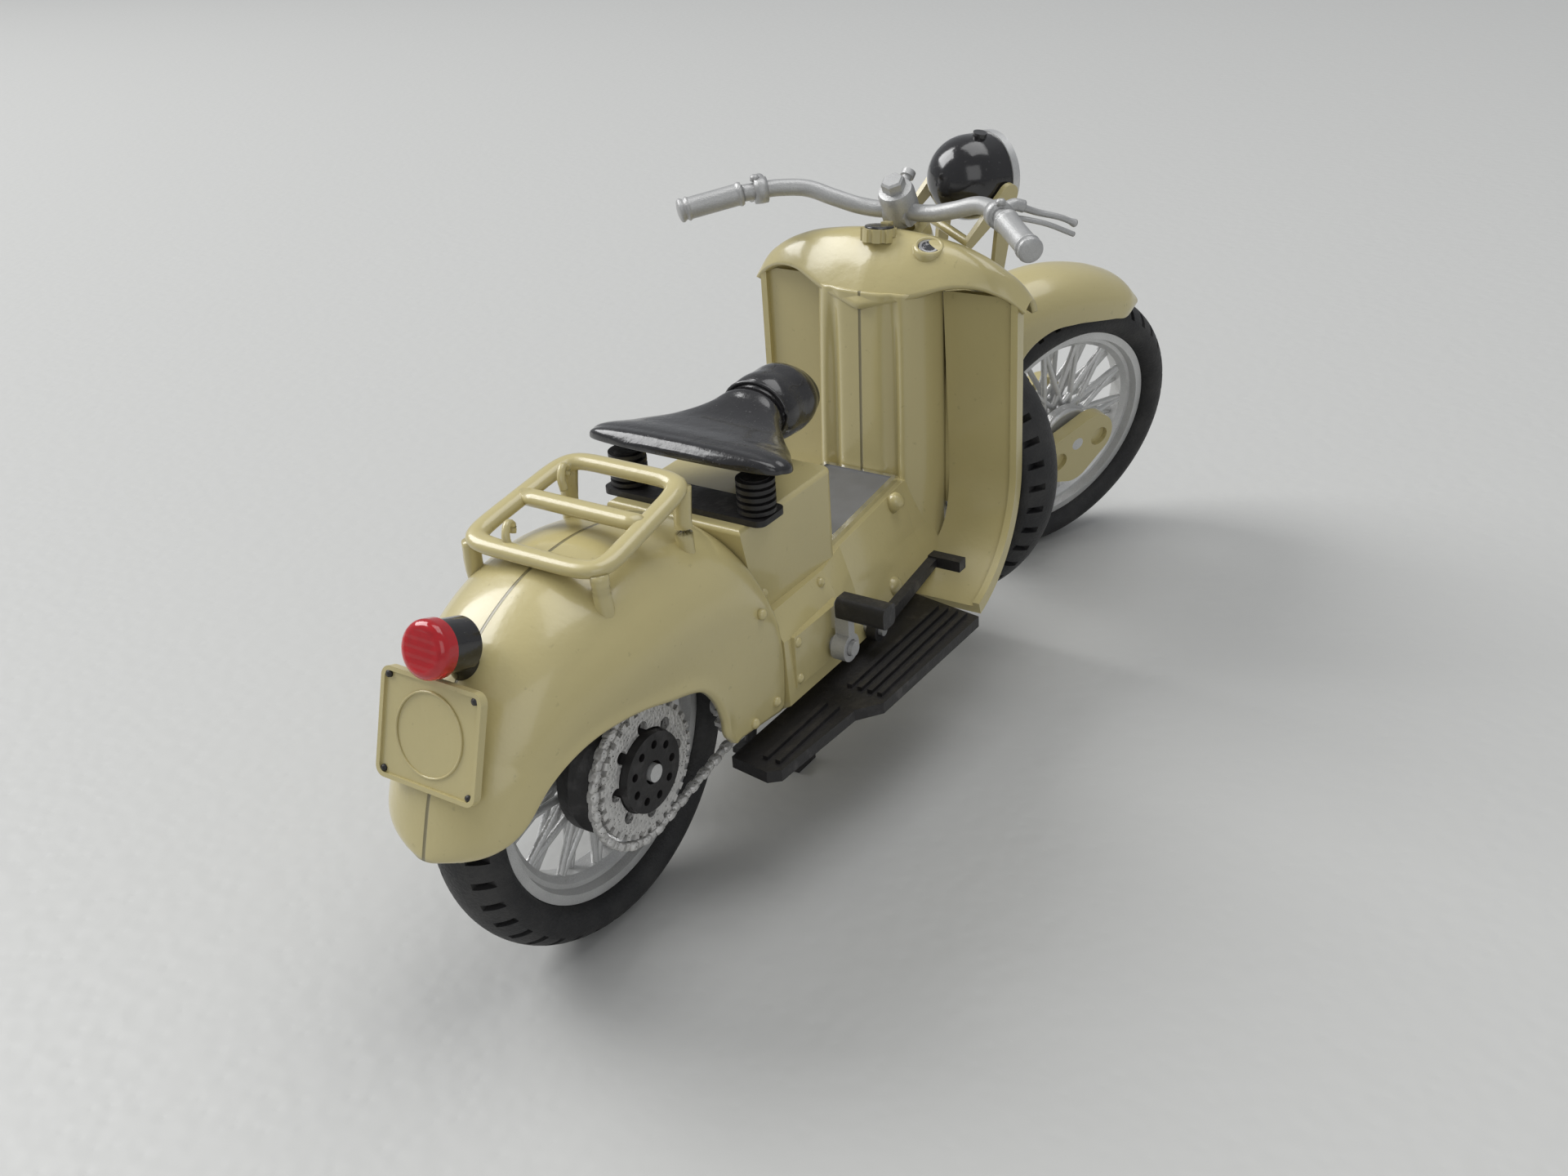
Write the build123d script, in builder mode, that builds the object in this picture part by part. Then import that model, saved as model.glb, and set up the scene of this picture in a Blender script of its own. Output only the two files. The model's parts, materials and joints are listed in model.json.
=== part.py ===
from build123d import *

import os
from math import cos, radians, sin

# Scale model of a large-wheeled motor scooter, in millimetres.
# +X is forward, +Y is the rider's left, +Z is up.
# The origin is on the ground under the middle of the model.

os.makedirs("parts", exist_ok=True)

# ---------------------------------------------------------------- driving sizes
rear_axle_x = -27.3
wheelbase = 58.6
wheel_radius = 11.75
front_lift = 0.1

tyre_half_width = 2.3
rim_radius = 9.0
rim_seat_radius = 8.5
rim_half_width = 1.5
rim_bore_radius = 7.5
bead_half_width = 1.15
tread_blocks = 40
spoke_pairs = 14
spoke_radius = 0.24
hub_radius = 1.7
hub_half_width = 1.5
axle_radius = 0.55
running_gap = 0.05
part_gap = 0.3

rake = 28.0
fork_offset = 6.7
fork_turn = 27.5
stem_radius = 0.9
head_radius = 1.6
blade_side = 4.2
blade_ahead = 2.2
link_side = 2.8
link_thickness = 1.1
blade_radius = 0.7

body_wall = 0.7
body_split_x = -15.8
case_bottom = 9.0
tunnel_top = 16.4
box_top = 22.6
box_half_width = 5.0
box_front_x = -6.5
column_back_x = 4.9
column_front_x = 9.0
column_half_width = 4.7
column_top = 30.2
shield_half_width = 10.4
shield_thickness = 0.6
shield_top = 29.4
cap_half_width = 10.9
board_top = 9.0
board_thickness = 0.8
board_half_width = 11.1

sprocket_radius = 4.2
sprocket_teeth = 32
drive_sprocket_radius = 1.7
drive_sprocket_teeth = 13
drive_sprocket_x = -18.4
drive_sprocket_z = 11.0
chain_side = 4.3
chain_width = 0.7
chain_height = 0.6
chain_gap = 0.1
drum_radius = 4.4
hub_cover_radius = 2.6

bar_radius = 0.6
grip_radius = 0.75
bar_half_width = 13.3
bar_height_s = 28.1
lamp_radius = 3.0

spare_x = 12.6
spare_z = 15.0
stand_pivot_x = -6.5
stand_pivot_z = 8.2
stand_foot_x = -8.0
stand_half_width = 2.8

# ---------------------------------------------------------------- shared places
rear_axle = Vector(rear_axle_x, 0, wheel_radius)
front_axle = Vector(rear_axle_x + wheelbase, 0, wheel_radius + front_lift)
head_up = Vector(-sin(radians(rake)), 0, cos(radians(rake)))
head_forward = Vector(cos(radians(rake)), 0, sin(radians(rake)))
head_foot = front_axle - head_forward * fork_offset


def on_head(up, ahead=0.0, side=0.0):
    """Point measured up the steering axis from beside the front axle, then ahead and to the left."""
    return head_foot + head_up * up + head_forward * ahead + Vector(0, side, 0)


def head_plane(up, ahead=0.0, side=0.0):
    """Plane square to the steering axis, with its own x ahead and its own y to the left."""
    return Plane(origin=on_head(up, ahead, side), x_dir=head_forward, z_dir=head_up)


straight = Location()
fork_pose = Location(head_foot) * Location((0, 0, 0), tuple(head_up), -fork_turn) * Location(-head_foot)
rear_wheel_place = Location(rear_axle)
front_wheel_place = fork_pose * Location(front_axle)
spare_wheel_place = Location((spare_x, 0, spare_z), (0, 0, 90))


def write_piece(piece, label, place=straight):
    """Labels one finished piece, sets it in its place and writes it as its own file."""
    placed = piece.part.moved(place)
    placed.label = label
    export_step(placed, f"parts/{label}.step")


def write_pair(piece, label):
    """Writes a piece of the right-hand side and its mirror image on the left."""
    right = piece.part
    right.label = f"{label}_right"
    export_step(right, f"parts/{label}_right.step")
    left = mirror(piece.part, about=Plane.XZ, mode=Mode.PRIVATE)
    left.label = f"{label}_left"
    export_step(left, f"parts/{label}_left.step")


def bar_between(start, end, radius):
    """Round bar with flat ends from one point to another."""
    run = Vector(end) - Vector(start)
    middle = Plane(origin=Vector(start) + run * 0.5, z_dir=run)
    return middle.location * Cylinder(radius, run.length, mode=Mode.PRIVATE)


# ---------------------------------------------------------------- wheels
# Every wheel is drawn round the origin with its axle along Y.
shoulder_radius = wheel_radius - 0.9
with BuildPart() as tyre:
    with BuildSketch(Plane.XY):
        with BuildLine():
            Line((rim_seat_radius, -bead_half_width), (rim_seat_radius, bead_half_width))
            Line((rim_seat_radius, bead_half_width), (rim_radius, bead_half_width))
            ThreePointArc(
                (rim_radius, bead_half_width),
                ((rim_radius + shoulder_radius) / 2, tyre_half_width),
                (shoulder_radius, tyre_half_width * 0.9),
            )
            ThreePointArc(
                (shoulder_radius, tyre_half_width * 0.9),
                (wheel_radius, 0),
                (shoulder_radius, -tyre_half_width * 0.9),
            )
            ThreePointArc(
                (shoulder_radius, -tyre_half_width * 0.9),
                ((rim_radius + shoulder_radius) / 2, -tyre_half_width),
                (rim_radius, -bead_half_width),
            )
            Line((rim_radius, -bead_half_width), (rim_seat_radius, -bead_half_width))
        make_face()
    revolve(axis=Axis.Y)
    with Locations(Plane.XZ):
        with Locations((0, 0, tyre_half_width * 0.8), (0, 0, -tyre_half_width * 0.8)):
            with PolarLocations(shoulder_radius + 0.35, tread_blocks):
                Box(0.9, 0.5, tyre_half_width * 0.7, mode=Mode.SUBTRACT)


def spoke_ends(side, lean, turn):
    """Hub and rim ends of one laced spoke, which leans round the wheel by a fixed angle."""
    hub_angle = radians(turn)
    rim_angle = radians(turn + lean)
    hub_end = Vector(hub_radius * 0.9 * cos(hub_angle), side * hub_half_width * 0.6, hub_radius * 0.9 * sin(hub_angle))
    rim_end = Vector((rim_bore_radius + 0.2) * cos(rim_angle), side * 0.35, (rim_bore_radius + 0.2) * sin(rim_angle))
    return hub_end, rim_end


spoke_pitch = 360 / spoke_pairs
with BuildPart() as wheel_rim:
    with BuildSketch(Plane.XY):
        with BuildLine():
            Polyline(
                (rim_bore_radius, 0),
                (rim_bore_radius, 0.6),
                (rim_bore_radius + 0.4, 0.95),
                (rim_seat_radius - 0.3, 0.95),
                (rim_seat_radius - 0.1, rim_half_width),
                (rim_radius, rim_half_width),
                (rim_radius, bead_half_width),
                (rim_seat_radius, bead_half_width),
                (rim_seat_radius, 0),
                close=True,
            )
        make_face()
        mirror(about=Plane.XZ)
    revolve(axis=Axis.Y)
    with Locations(Plane.XZ):
        Cylinder(hub_radius, 2 * hub_half_width)
    add(
        [
            bar_between(*spoke_ends(side, lean, spoke_pitch * (number + 0.25 * side)), spoke_radius)
            for number in range(spoke_pairs)
            for side in (-1, 1)
            for lean in (-38, 38)
        ]
    )
    with Locations(Plane.XZ):
        Cylinder(axle_radius + running_gap, 6, mode=Mode.SUBTRACT)

write_piece(tyre, "rear_tyre", rear_wheel_place)
write_piece(tyre, "front_tyre", front_wheel_place)
write_piece(tyre, "spare_tyre", spare_wheel_place)
write_piece(wheel_rim, "rear_rim", rear_wheel_place)
write_piece(wheel_rim, "front_rim", front_wheel_place)
write_piece(wheel_rim, "spare_rim", spare_wheel_place)

# Brake plate of the front hub, on the right, with a small lever boss.
front_plate_radius = 2.5
front_plate_face = hub_half_width + 0.9
with BuildPart() as front_plate:
    with BuildSketch(Plane.XZ.offset(hub_half_width)):
        Circle(front_plate_radius)
        Circle(axle_radius + running_gap, mode=Mode.SUBTRACT)
    extrude(amount=front_plate_face - hub_half_width)
    outer_rim = front_plate.edges().filter_by(GeomType.CIRCLE).group_by(Axis.Y)[0].sort_by(SortBy.RADIUS)[-1]
    fillet(outer_rim, radius=0.35)
write_piece(front_plate, "front_brake_plate", front_wheel_place)

with BuildPart() as front_spindle:
    with Locations(Plane.XZ):
        Cylinder(axle_radius, 2 * (link_side + link_thickness))
write_piece(front_spindle, "front_axle", front_wheel_place)

# Rear hub: brake drum, chain wheel, its black cover and the axle.
drum_inner = hub_half_width
drum_outer = chain_side - 0.5
with BuildPart() as rear_drum:
    with BuildSketch(Plane.XY):
        with BuildLine():
            Polyline(
                (axle_radius + running_gap, -drum_inner),
                (drum_radius, -drum_inner),
                (drum_radius, -drum_inner - 0.8),
                (drum_radius - 0.9, -drum_outer),
                (axle_radius + running_gap, -drum_outer),
                close=True,
            )
        make_face()
    revolve(axis=Axis.Y)
write_piece(rear_drum, "rear_brake_drum", rear_wheel_place)

sprocket_thickness = 0.45
with BuildPart() as sprocket:
    with BuildSketch(Plane.XZ.offset(chain_side - sprocket_thickness / 2)):
        Circle(sprocket_radius - 0.35)
        with PolarLocations(sprocket_radius - 0.35, sprocket_teeth):
            Rectangle(0.7, 0.42)
        Circle(hub_cover_radius, mode=Mode.SUBTRACT)
    extrude(amount=sprocket_thickness)
    with Locations(Plane.XZ.offset(chain_side)):
        with PolarLocations(hub_cover_radius + 0.25, 8):
            Cylinder(0.42, 2 * sprocket_thickness, mode=Mode.SUBTRACT)
write_piece(sprocket, "rear_sprocket", rear_wheel_place)

cover_hole_circle = hub_cover_radius - 0.85
with BuildPart() as hub_cover:
    with BuildSketch(Plane.XZ.offset(drum_outer)):
        Circle(hub_cover_radius)
        Circle(axle_radius + running_gap, mode=Mode.SUBTRACT)
    extrude(amount=chain_side + 0.7 - drum_outer, taper=6)
    with Locations(Plane.XZ.offset(chain_side + 0.7)):
        with PolarLocations(cover_hole_circle, 9):
            Hole(0.26, depth=0.5)
write_piece(hub_cover, "rear_hub_cover", rear_wheel_place)

arm_side = 3.0
arm_thickness = 1.0
with BuildPart() as rear_spindle:
    with BuildSketch(Plane.XZ.offset(-arm_side - arm_thickness)):
        Circle(axle_radius)
    extrude(amount=arm_side + arm_thickness + chain_side + 0.9)
    with BuildSketch(Plane.XZ.offset(-arm_side - arm_thickness)):
        RegularPolygon(1.0, 6)
    extrude(amount=-0.7)
    with BuildSketch(Plane.XZ.offset(-arm_side)):
        Circle(1.1)
    extrude(amount=arm_side - hub_half_width - part_gap)
write_piece(rear_spindle, "rear_axle", rear_wheel_place)

# Swing arm on the left, from the engine case to the rear axle.
arm_front_x = body_split_x
with BuildPart() as swing_arm:
    with BuildSketch(Plane.XZ.offset(-arm_side)):
        with BuildLine():
            Polyline(
                (rear_axle_x, wheel_radius + 1.5),
                (arm_front_x, wheel_radius + 1.9),
                (arm_front_x, wheel_radius - 1.6),
                (rear_axle_x, wheel_radius - 1.3),
                close=True,
            )
        make_face()
        with Locations((rear_axle_x, wheel_radius)):
            Circle(1.5)
            Circle(axle_radius, mode=Mode.SUBTRACT)
    extrude(amount=-arm_thickness)
write_piece(swing_arm, "swing_arm")


# ---------------------------------------------------------------- chain and drive sprocket
def chain_loop(clearance):
    """Closed outline round both chain wheels at one distance outside their tips."""
    rear = (rear_axle_x, wheel_radius)
    drive = (drive_sprocket_x, drive_sprocket_z)
    return make_hull(
        [
            Edge.make_circle(sprocket_radius + clearance).moved(Location((*rear, 0))),
            Edge.make_circle(drive_sprocket_radius + clearance).moved(Location((*drive, 0))),
        ],
        mode=Mode.PRIVATE,
    )


with BuildPart() as chain:
    with BuildSketch(Plane.XZ.offset(chain_side - chain_width / 2)):
        add(chain_loop(chain_gap + chain_height))
        add(chain_loop(chain_gap), mode=Mode.SUBTRACT)
    extrude(amount=chain_width)
write_piece(chain, "drive_chain")

drive_place = Location((drive_sprocket_x, 0, drive_sprocket_z))
with BuildPart() as drive_sprocket:
    with BuildSketch(Plane.XZ.offset(chain_side - sprocket_thickness / 2)):
        Circle(drive_sprocket_radius - 0.35)
        with PolarLocations(drive_sprocket_radius - 0.35, drive_sprocket_teeth):
            Rectangle(0.7, 0.38)
        Circle(axle_radius + running_gap, mode=Mode.SUBTRACT)
    extrude(amount=sprocket_thickness)
write_piece(drive_sprocket, "drive_sprocket", drive_place)

# Stub shaft of the drive sprocket, carried by a bracket from the engine case.
shaft_inner = 3.15
with BuildPart() as drive_shaft:
    with BuildSketch(Plane.XZ.offset(shaft_inner)):
        Circle(axle_radius)
    extrude(amount=chain_side + 0.6 - shaft_inner)
    with BuildSketch(Plane.XZ.offset(shaft_inner)):
        with Locations(((body_split_x - drive_sprocket_x) / 2, 0)):
            Rectangle(body_split_x - drive_sprocket_x, 1.6)
        Circle(0.8)
    extrude(amount=chain_side - sprocket_thickness / 2 - part_gap - shaft_inner)
write_piece(drive_shaft, "drive_shaft", drive_place)


# ---------------------------------------------------------------- rear body
def fan_plane(angle):
    """Plane through the rear axle line; its y is up when the angle is 0 and leans back as it grows."""
    lean = radians(angle)
    return Plane(origin=rear_axle, x_dir=(0, 1, 0), z_dir=(cos(lean), 0, sin(lean)))


def fender_section(angle, reach, half_width, crown, depth):
    """One arched slice of the rear body: straight sides under half an ellipse."""
    spring = reach - crown
    with BuildSketch(fan_plane(angle)) as section:
        with BuildLine():
            EllipticalCenterArc((0, spring), half_width, crown, start_angle=0, arc_size=180)
            Line((-half_width, spring), (-half_width, depth))
            Line((-half_width, depth), (half_width, depth))
            Line((half_width, depth), (half_width, spring))
        make_face()
    return section.sketch


# Angle behind the vertical, reach from the axle, half width and crown height of each slice.
fender_slices = [
    (88, wheel_radius + 2.5, 3.9, 2.2),
    (79, wheel_radius + 1.5, 4.4, 2.8),
    (68, wheel_radius + 1.1, 4.8, 3.4),
    (45, wheel_radius + 1.3, 5.4, 4.2),
    (20, wheel_radius + 1.5, 6.0, 4.8),
    (-2, wheel_radius + 1.7, 6.4, 5.0),
    (-24, wheel_radius + 1.9, 6.7, 5.2),
    (-42, wheel_radius + 3.1, 6.8, 5.2),
    (-66, wheel_radius + 3.2, 6.9, 4.0),
    (-98, wheel_radius + 2.0, 6.9, 3.0),
]
fender_depth = 3.0


def fender_form(inset):
    """Whole arched form of the rear body, or its hollow when set in by the wall."""
    sections = [
        fender_section(angle, reach - inset, width - inset, crown - inset * 0.5, fender_depth - inset)
        for angle, reach, width, crown in fender_slices
    ]
    return loft(sections, ruled=True, mode=Mode.PRIVATE)


seam_top_x = body_split_x - 2.4
arch_line = [
    (rear_axle_x - 20, wheel_radius + 0.95),
    (rear_axle_x - 10.4, wheel_radius + 0.95),
    (rear_axle_x - 8.6, wheel_radius + 4.6),
    (rear_axle_x - 5.0, wheel_radius + 5.8),
    (rear_axle_x - 0.4, wheel_radius + 5.2),
    (rear_axle_x + 3.4, wheel_radius + 4.0),
    (rear_axle_x + 4.9, wheel_radius - 0.2),
    (rear_axle_x + 6.2, wheel_radius - 1.5),
    (rear_axle_x + 20, wheel_radius - 1.5),
]
with BuildPart() as body:
    add(fender_form(0))
    add(fender_form(body_wall), mode=Mode.SUBTRACT)
    with BuildSketch(Plane.XZ.offset(-10)):
        with BuildLine():
            FilletPolyline(*arch_line, radius=1.1)
            Polyline(arch_line[-1], (rear_axle_x + 20, -9), (rear_axle_x - 20, -9), arch_line[0])
        make_face()
    extrude(amount=20, mode=Mode.SUBTRACT)
    with BuildSketch(Plane.XZ.offset(-10)):
        Polygon(
            (body_split_x, case_bottom - 3),
            (body_split_x, tunnel_top),
            (seam_top_x, 27),
            (20, 27),
            (20, case_bottom - 3),
            align=None,
        )
    extrude(amount=20, mode=Mode.SUBTRACT)
with BuildPart() as body_right:
    add(body.part)
    split(bisect_by=Plane.XZ, keep=Keep.TOP)
write_pair(body_right, "rear_body")


# ---------------------------------------------------------------- engine case and tunnel
def case_section(x, top_half, middle_half, middle_z, side_half, side_z):
    """One slice of the engine case and tunnel: flat top, sloped shoulders, flat underside."""
    with BuildSketch(Plane.YZ.offset(x)) as section:
        half = [
            (top_half, tunnel_top),
            (middle_half, middle_z),
            (side_half, side_z),
            (4.8, case_bottom),
        ]
        Polygon(*half, *[(-y, z) for y, z in reversed(half)], align=None)
    return section.sketch


case_slices = [
    (body_split_x, 5.6, 6.7, 14.8, 6.9, 10.3),
    (-9.0, 5.4, 6.6, 14.2, 6.8, 10.2),
    (-5.6, 4.6, 5.6, 13.6, 6.5, 10.0),
    (column_back_x, 3.4, 4.4, 12.8, 5.8, 9.8),
    (column_back_x + 2.4, 3.4, 4.4, 12.8, 5.8, 9.8),
]
well_radius = wheel_radius + 0.5
well_half_width = tyre_half_width + 0.5
with BuildPart() as engine_case:
    loft([case_section(*values) for values in case_slices], ruled=True)
    with Locations(Plane(origin=rear_axle, z_dir=(0, -1, 0))):
        Cylinder(well_radius, 2 * well_half_width, mode=Mode.SUBTRACT)
    with Locations((-12.2, 0, 13.0)):
        Box(5.6, 13.9, 3.6)
write_piece(engine_case, "engine_case")

# Box under the saddle: its back follows the seam of the rear body.
seam_slope = (seam_top_x - body_split_x) / (27 - tunnel_top)
box_back_x = body_split_x + seam_slope * (box_top - tunnel_top)
with BuildPart() as saddle_box:
    with BuildSketch(Plane.XZ.offset(-box_half_width)):
        Polygon(
            (body_split_x, tunnel_top),
            (box_front_x, tunnel_top),
            (box_front_x, box_top),
            (box_back_x, box_top),
            align=None,
        )
    extrude(amount=2 * box_half_width)
    fillet(saddle_box.edges().filter_by(Axis.Z), radius=0.8)
    fillet(saddle_box.faces().sort_by(Axis.Z)[-1].edges(), radius=0.3)
write_piece(saddle_box, "saddle_box")

# Floor mat on the tunnel, inside a bright edge strip.
mat_height = 0.3
mat_margin = 0.35
mat_outline = [
    (box_front_x, 4.3),
    (column_back_x + 0.2, 3.0),
    (column_back_x + 0.2, -3.0),
    (box_front_x, -4.3),
]
with BuildPart() as mat_trim:
    with BuildSketch(Plane.XY.offset(tunnel_top)):
        Polygon(*mat_outline, align=None)
        offset(amount=-mat_margin, mode=Mode.SUBTRACT)
    extrude(amount=mat_height + 0.12)
write_piece(mat_trim, "mat_trim")

with BuildPart() as mat:
    with BuildSketch(Plane.XY.offset(tunnel_top)):
        Polygon(*mat_outline, align=None)
        offset(amount=-mat_margin, mode=Mode.REPLACE)
    extrude(amount=mat_height)
write_piece(mat, "floor_mat")


# ---------------------------------------------------------------- column, shield and cap
def column_section(z, back, front, half):
    """Slice of the column: flat front, a ridge on each side and a swelling middle."""
    ridge = (back + 0.7, half * 0.42)
    with BuildSketch(Plane.XY.offset(z)) as section:
        with BuildLine():
            Line((front, -half), (front, half))
            ThreePointArc((front, half), (back + 1.3, half * 0.84), ridge)
            ThreePointArc(ridge, (back, 0), (ridge[0], -ridge[1]))
            ThreePointArc((ridge[0], -ridge[1]), (back + 1.3, -half * 0.84), (front, -half))
        make_face()
    return section.sketch


def cap_section(side, back, back_z, top, top_z, front, front_z):
    """Slice of the cap along the model: flat underneath and arched on top."""
    with BuildSketch(Plane.XZ.offset(-side)) as section:
        with BuildLine():
            Line((back, back_z), (front, front_z))
            Spline((front, front_z), (top, top_z), (back, back_z))
        make_face()
    return section.sketch


cap_half_slices = [
    (0, 5.3, 28.7, 9.3, 33.1, 14.2, 28.6),
    (3.5, 6.3, 29.5, 9.5, 32.9, 13.9, 28.5),
    (6.5, 7.5, 30.3, 9.8, 32.4, 13.2, 28.4),
    (8.8, 8.3, 30.0, 10.0, 31.5, 12.4, 28.3),
    (10.2, 8.9, 29.2, 10.2, 30.3, 11.7, 28.2),
    (cap_half_width, 9.3, 28.5, 10.3, 29.1, 11.2, 28.1),
]
cap_slices = [(-side, *rest) for side, *rest in reversed(cap_half_slices[1:])] + cap_half_slices
cap_form = loft([cap_section(*values) for values in cap_slices], ruled=True, mode=Mode.PRIVATE)

head_bottom = 21.8
head_top = 27.2
with BuildPart() as head_tube:
    with BuildSketch(head_plane(head_bottom)):
        Circle(head_radius)
        Circle(stem_radius + running_gap, mode=Mode.SUBTRACT)
    extrude(amount=head_top - head_bottom)
write_piece(head_tube, "head_tube")

with BuildPart() as cap:
    add(cap_form)
    with BuildSketch(head_plane(head_bottom - 2)):
        Circle(head_radius)
    extrude(amount=head_top - head_bottom + 4, mode=Mode.SUBTRACT)
write_piece(cap, "shield_cap")

with BuildPart() as column_form:
    loft(
        [
            column_section(case_bottom, column_back_x, column_front_x, column_half_width + 0.5),
            column_section(column_top, column_back_x + 1.1, column_front_x + 0.9, column_half_width - 0.2),
        ],
        ruled=True,
    )
    add(engine_case.part, mode=Mode.SUBTRACT)
    add(mat_trim.part, mode=Mode.SUBTRACT)
    add(mat.part, mode=Mode.SUBTRACT)
    add(cap_form, mode=Mode.SUBTRACT)
with BuildPart() as column:
    add(column_form.solids().sort_by(SortBy.VOLUME)[-1])
write_piece(column, "column")

# Leg shield: a bent sheet on each side of the column, with a rolled outer edge.
shield_front_x = 9.9
shield_bend_z = 17.0
shield_bend_radius = 9.2
shield_sweep = 73.0
shield_flare = 0.02
shield_inner_side = 4.6


def shield_band(thickness, side):
    """Side outline of the bent sheet, thickness measured back from its front face."""
    centre = Vector(shield_front_x - shield_bend_radius, shield_bend_z)
    inner_radius = shield_bend_radius - thickness
    with BuildSketch(Plane.XZ.offset(side)) as band:
        with BuildLine():
            Line((shield_front_x, shield_top), (shield_front_x, shield_bend_z))
            CenterArc((centre.X, centre.Y), shield_bend_radius, 0, -shield_sweep)
            end = radians(-shield_sweep)
            Line(
                (centre.X + shield_bend_radius * cos(end), centre.Y + shield_bend_radius * sin(end)),
                (centre.X + inner_radius * cos(end), centre.Y + inner_radius * sin(end)),
            )
            CenterArc((centre.X, centre.Y), inner_radius, 0, -shield_sweep)
            Line((shield_front_x - thickness, shield_bend_z), (shield_front_x - thickness, shield_top))
            Line((shield_front_x - thickness, shield_top), (shield_front_x, shield_top))
        make_face()
    return band.sketch


with BuildPart() as shield_form:
    outward = (shield_flare, -1, 0)
    extrude(shield_band(shield_thickness, shield_inner_side), amount=shield_half_width - shield_inner_side, dir=outward)
    extrude(
        shield_band(shield_thickness + 0.35, shield_half_width - 0.5).moved(
            Location((shield_flare * (shield_half_width - 0.5 - shield_inner_side), 0, 0))
        ),
        amount=0.5,
        dir=outward,
    )
    add(cap_form, mode=Mode.SUBTRACT)
    add(column.part, mode=Mode.SUBTRACT)
    add(engine_case.part, mode=Mode.SUBTRACT)
with BuildPart() as shield:
    add(shield_form.solids().sort_by(SortBy.VOLUME)[-1])
write_pair(shield, "leg_shield")

# Filler cap and gauge on the cap.
filler_place = Plane(origin=(8.6, 0, 32.6), x_dir=(1, 0, -0.12), z_dir=(0.12, 0, 1))
with BuildPart() as filler:
    with BuildSketch(filler_place):
        Circle(1.25)
        with PolarLocations(1.25, 8):
            Circle(0.22, mode=Mode.SUBTRACT)
    extrude(amount=0.9)
    with BuildSketch(filler_place.offset(0.9)):
        Circle(0.85)
    extrude(amount=-0.25, mode=Mode.SUBTRACT)
    with Locations(filler_place.offset(0.95)):
        with Locations((1.15, 0, 0)):
            Box(0.7, 0.6, 0.4)
    add(cap_form, mode=Mode.SUBTRACT)
write_piece(filler, "filler_cap")

gauge_place = Plane(origin=(11.8, -3.5, 31.2), x_dir=(1, 0, -0.6), z_dir=(0.6, -0.1, 1))
with BuildPart() as gauge:
    with BuildSketch(gauge_place):
        Circle(1.25)
    extrude(amount=0.9)
    with BuildSketch(gauge_place.offset(0.9)):
        Circle(0.95)
    extrude(amount=-0.2, mode=Mode.SUBTRACT)
    add(cap_form, mode=Mode.SUBTRACT)
write_piece(gauge, "gauge")

# ---------------------------------------------------------------- footboards
board_front_x = 3.0
rib_height = 0.25
with BuildPart() as footboard:
    with BuildSketch(Plane.XY.offset(board_top)):
        Polygon(
            (board_front_x, -4.4),
            (board_front_x - 1.2, -board_half_width),
            (-11.0, -10.8),
            (-12.6, -9.6),
            (-20.4, -9.1),
            (-21.0, -8.4),
            (-20.6, -5.6),
            (-10.6, -5.6),
            (-9.6, -4.4),
            align=None,
        )
    extrude(amount=-board_thickness)
    with BuildSketch(Plane.XY.offset(board_top)):
        with Locations(*[(-4.4, -7.9 - 0.75 * number) for number in range(4)]):
            Rectangle(12.0, 0.35)
        with Locations((-16.4, -7.6), (-16.4, -8.5)):
            Rectangle(7.0, 0.35)
    extrude(amount=rib_height)
write_pair(footboard, "footboard")

# ---------------------------------------------------------------- pedals and stand
pedal_x = -5.5
pedal_z = 10.7
pedal_side = 6.8
pin_radius = 0.35
kick_x = -10.6
kick_z = 12.2
kick_side = 7.3
kick_reach = 2.9
kick_pin_radius = 0.5
with BuildPart() as control_pins:
    with BuildSketch(Plane.XZ.offset(5.6)):
        with Locations((pedal_x, pedal_z)):
            Circle(pin_radius)
    extrude(amount=pedal_side + 1.0 - 5.6)
    with BuildSketch(Plane.XZ.offset(5.6)):
        with Locations((kick_x, kick_z)):
            Circle(kick_pin_radius)
    extrude(amount=kick_side + 1.3 - 5.6)
    add(engine_case.part, mode=Mode.SUBTRACT)
write_piece(control_pins, "control_pins")

with BuildPart() as brake_pedal:
    with BuildSketch(Plane.XZ.offset(pedal_side)):
        with Locations((pedal_x, pedal_z)):
            Circle(0.8)
        Polygon(
            (pedal_x, pedal_z + 0.45),
            (2.6, 12.4),
            (3.1, 11.9),
            (pedal_x + 0.3, pedal_z - 0.45),
            align=None,
        )
        with Locations((pedal_x, pedal_z)):
            Circle(pin_radius + running_gap, mode=Mode.SUBTRACT)
    extrude(amount=0.7)
    with BuildSketch(Plane.XZ.offset(pedal_side)):
        with Locations((2.9, 12.1)):
            Rectangle(0.9, 0.8)
    extrude(amount=2.5)
write_piece(brake_pedal, "brake_pedal")

with BuildPart() as kick_lever:
    with BuildSketch(Plane.XZ.offset(kick_side)):
        with Locations((kick_x, kick_z)):
            Circle(0.95)
        with Locations((kick_x + 0.1, kick_z + kick_reach / 2)):
            Rectangle(0.7, kick_reach)
        with Locations((kick_x, kick_z)):
            Circle(kick_pin_radius + running_gap, mode=Mode.SUBTRACT)
    extrude(amount=1.0)
    with BuildSketch(Plane.XZ.offset(kick_side)):
        with Locations((kick_x + 0.1, kick_z + kick_reach)):
            Circle(0.4)
    extrude(amount=3.4)
write_piece(kick_lever, "kick_lever")

with BuildPart() as kick_rubber:
    with BuildSketch(Plane.XZ.offset(kick_side + 0.3)):
        with Locations((kick_x + 0.1, kick_z + kick_reach)):
            RectangleRounded(1.5, 1.5, 0.4)
    extrude(amount=3.5)
    add(kick_lever.part, mode=Mode.SUBTRACT)
write_piece(kick_rubber, "kick_rubber")

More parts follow.
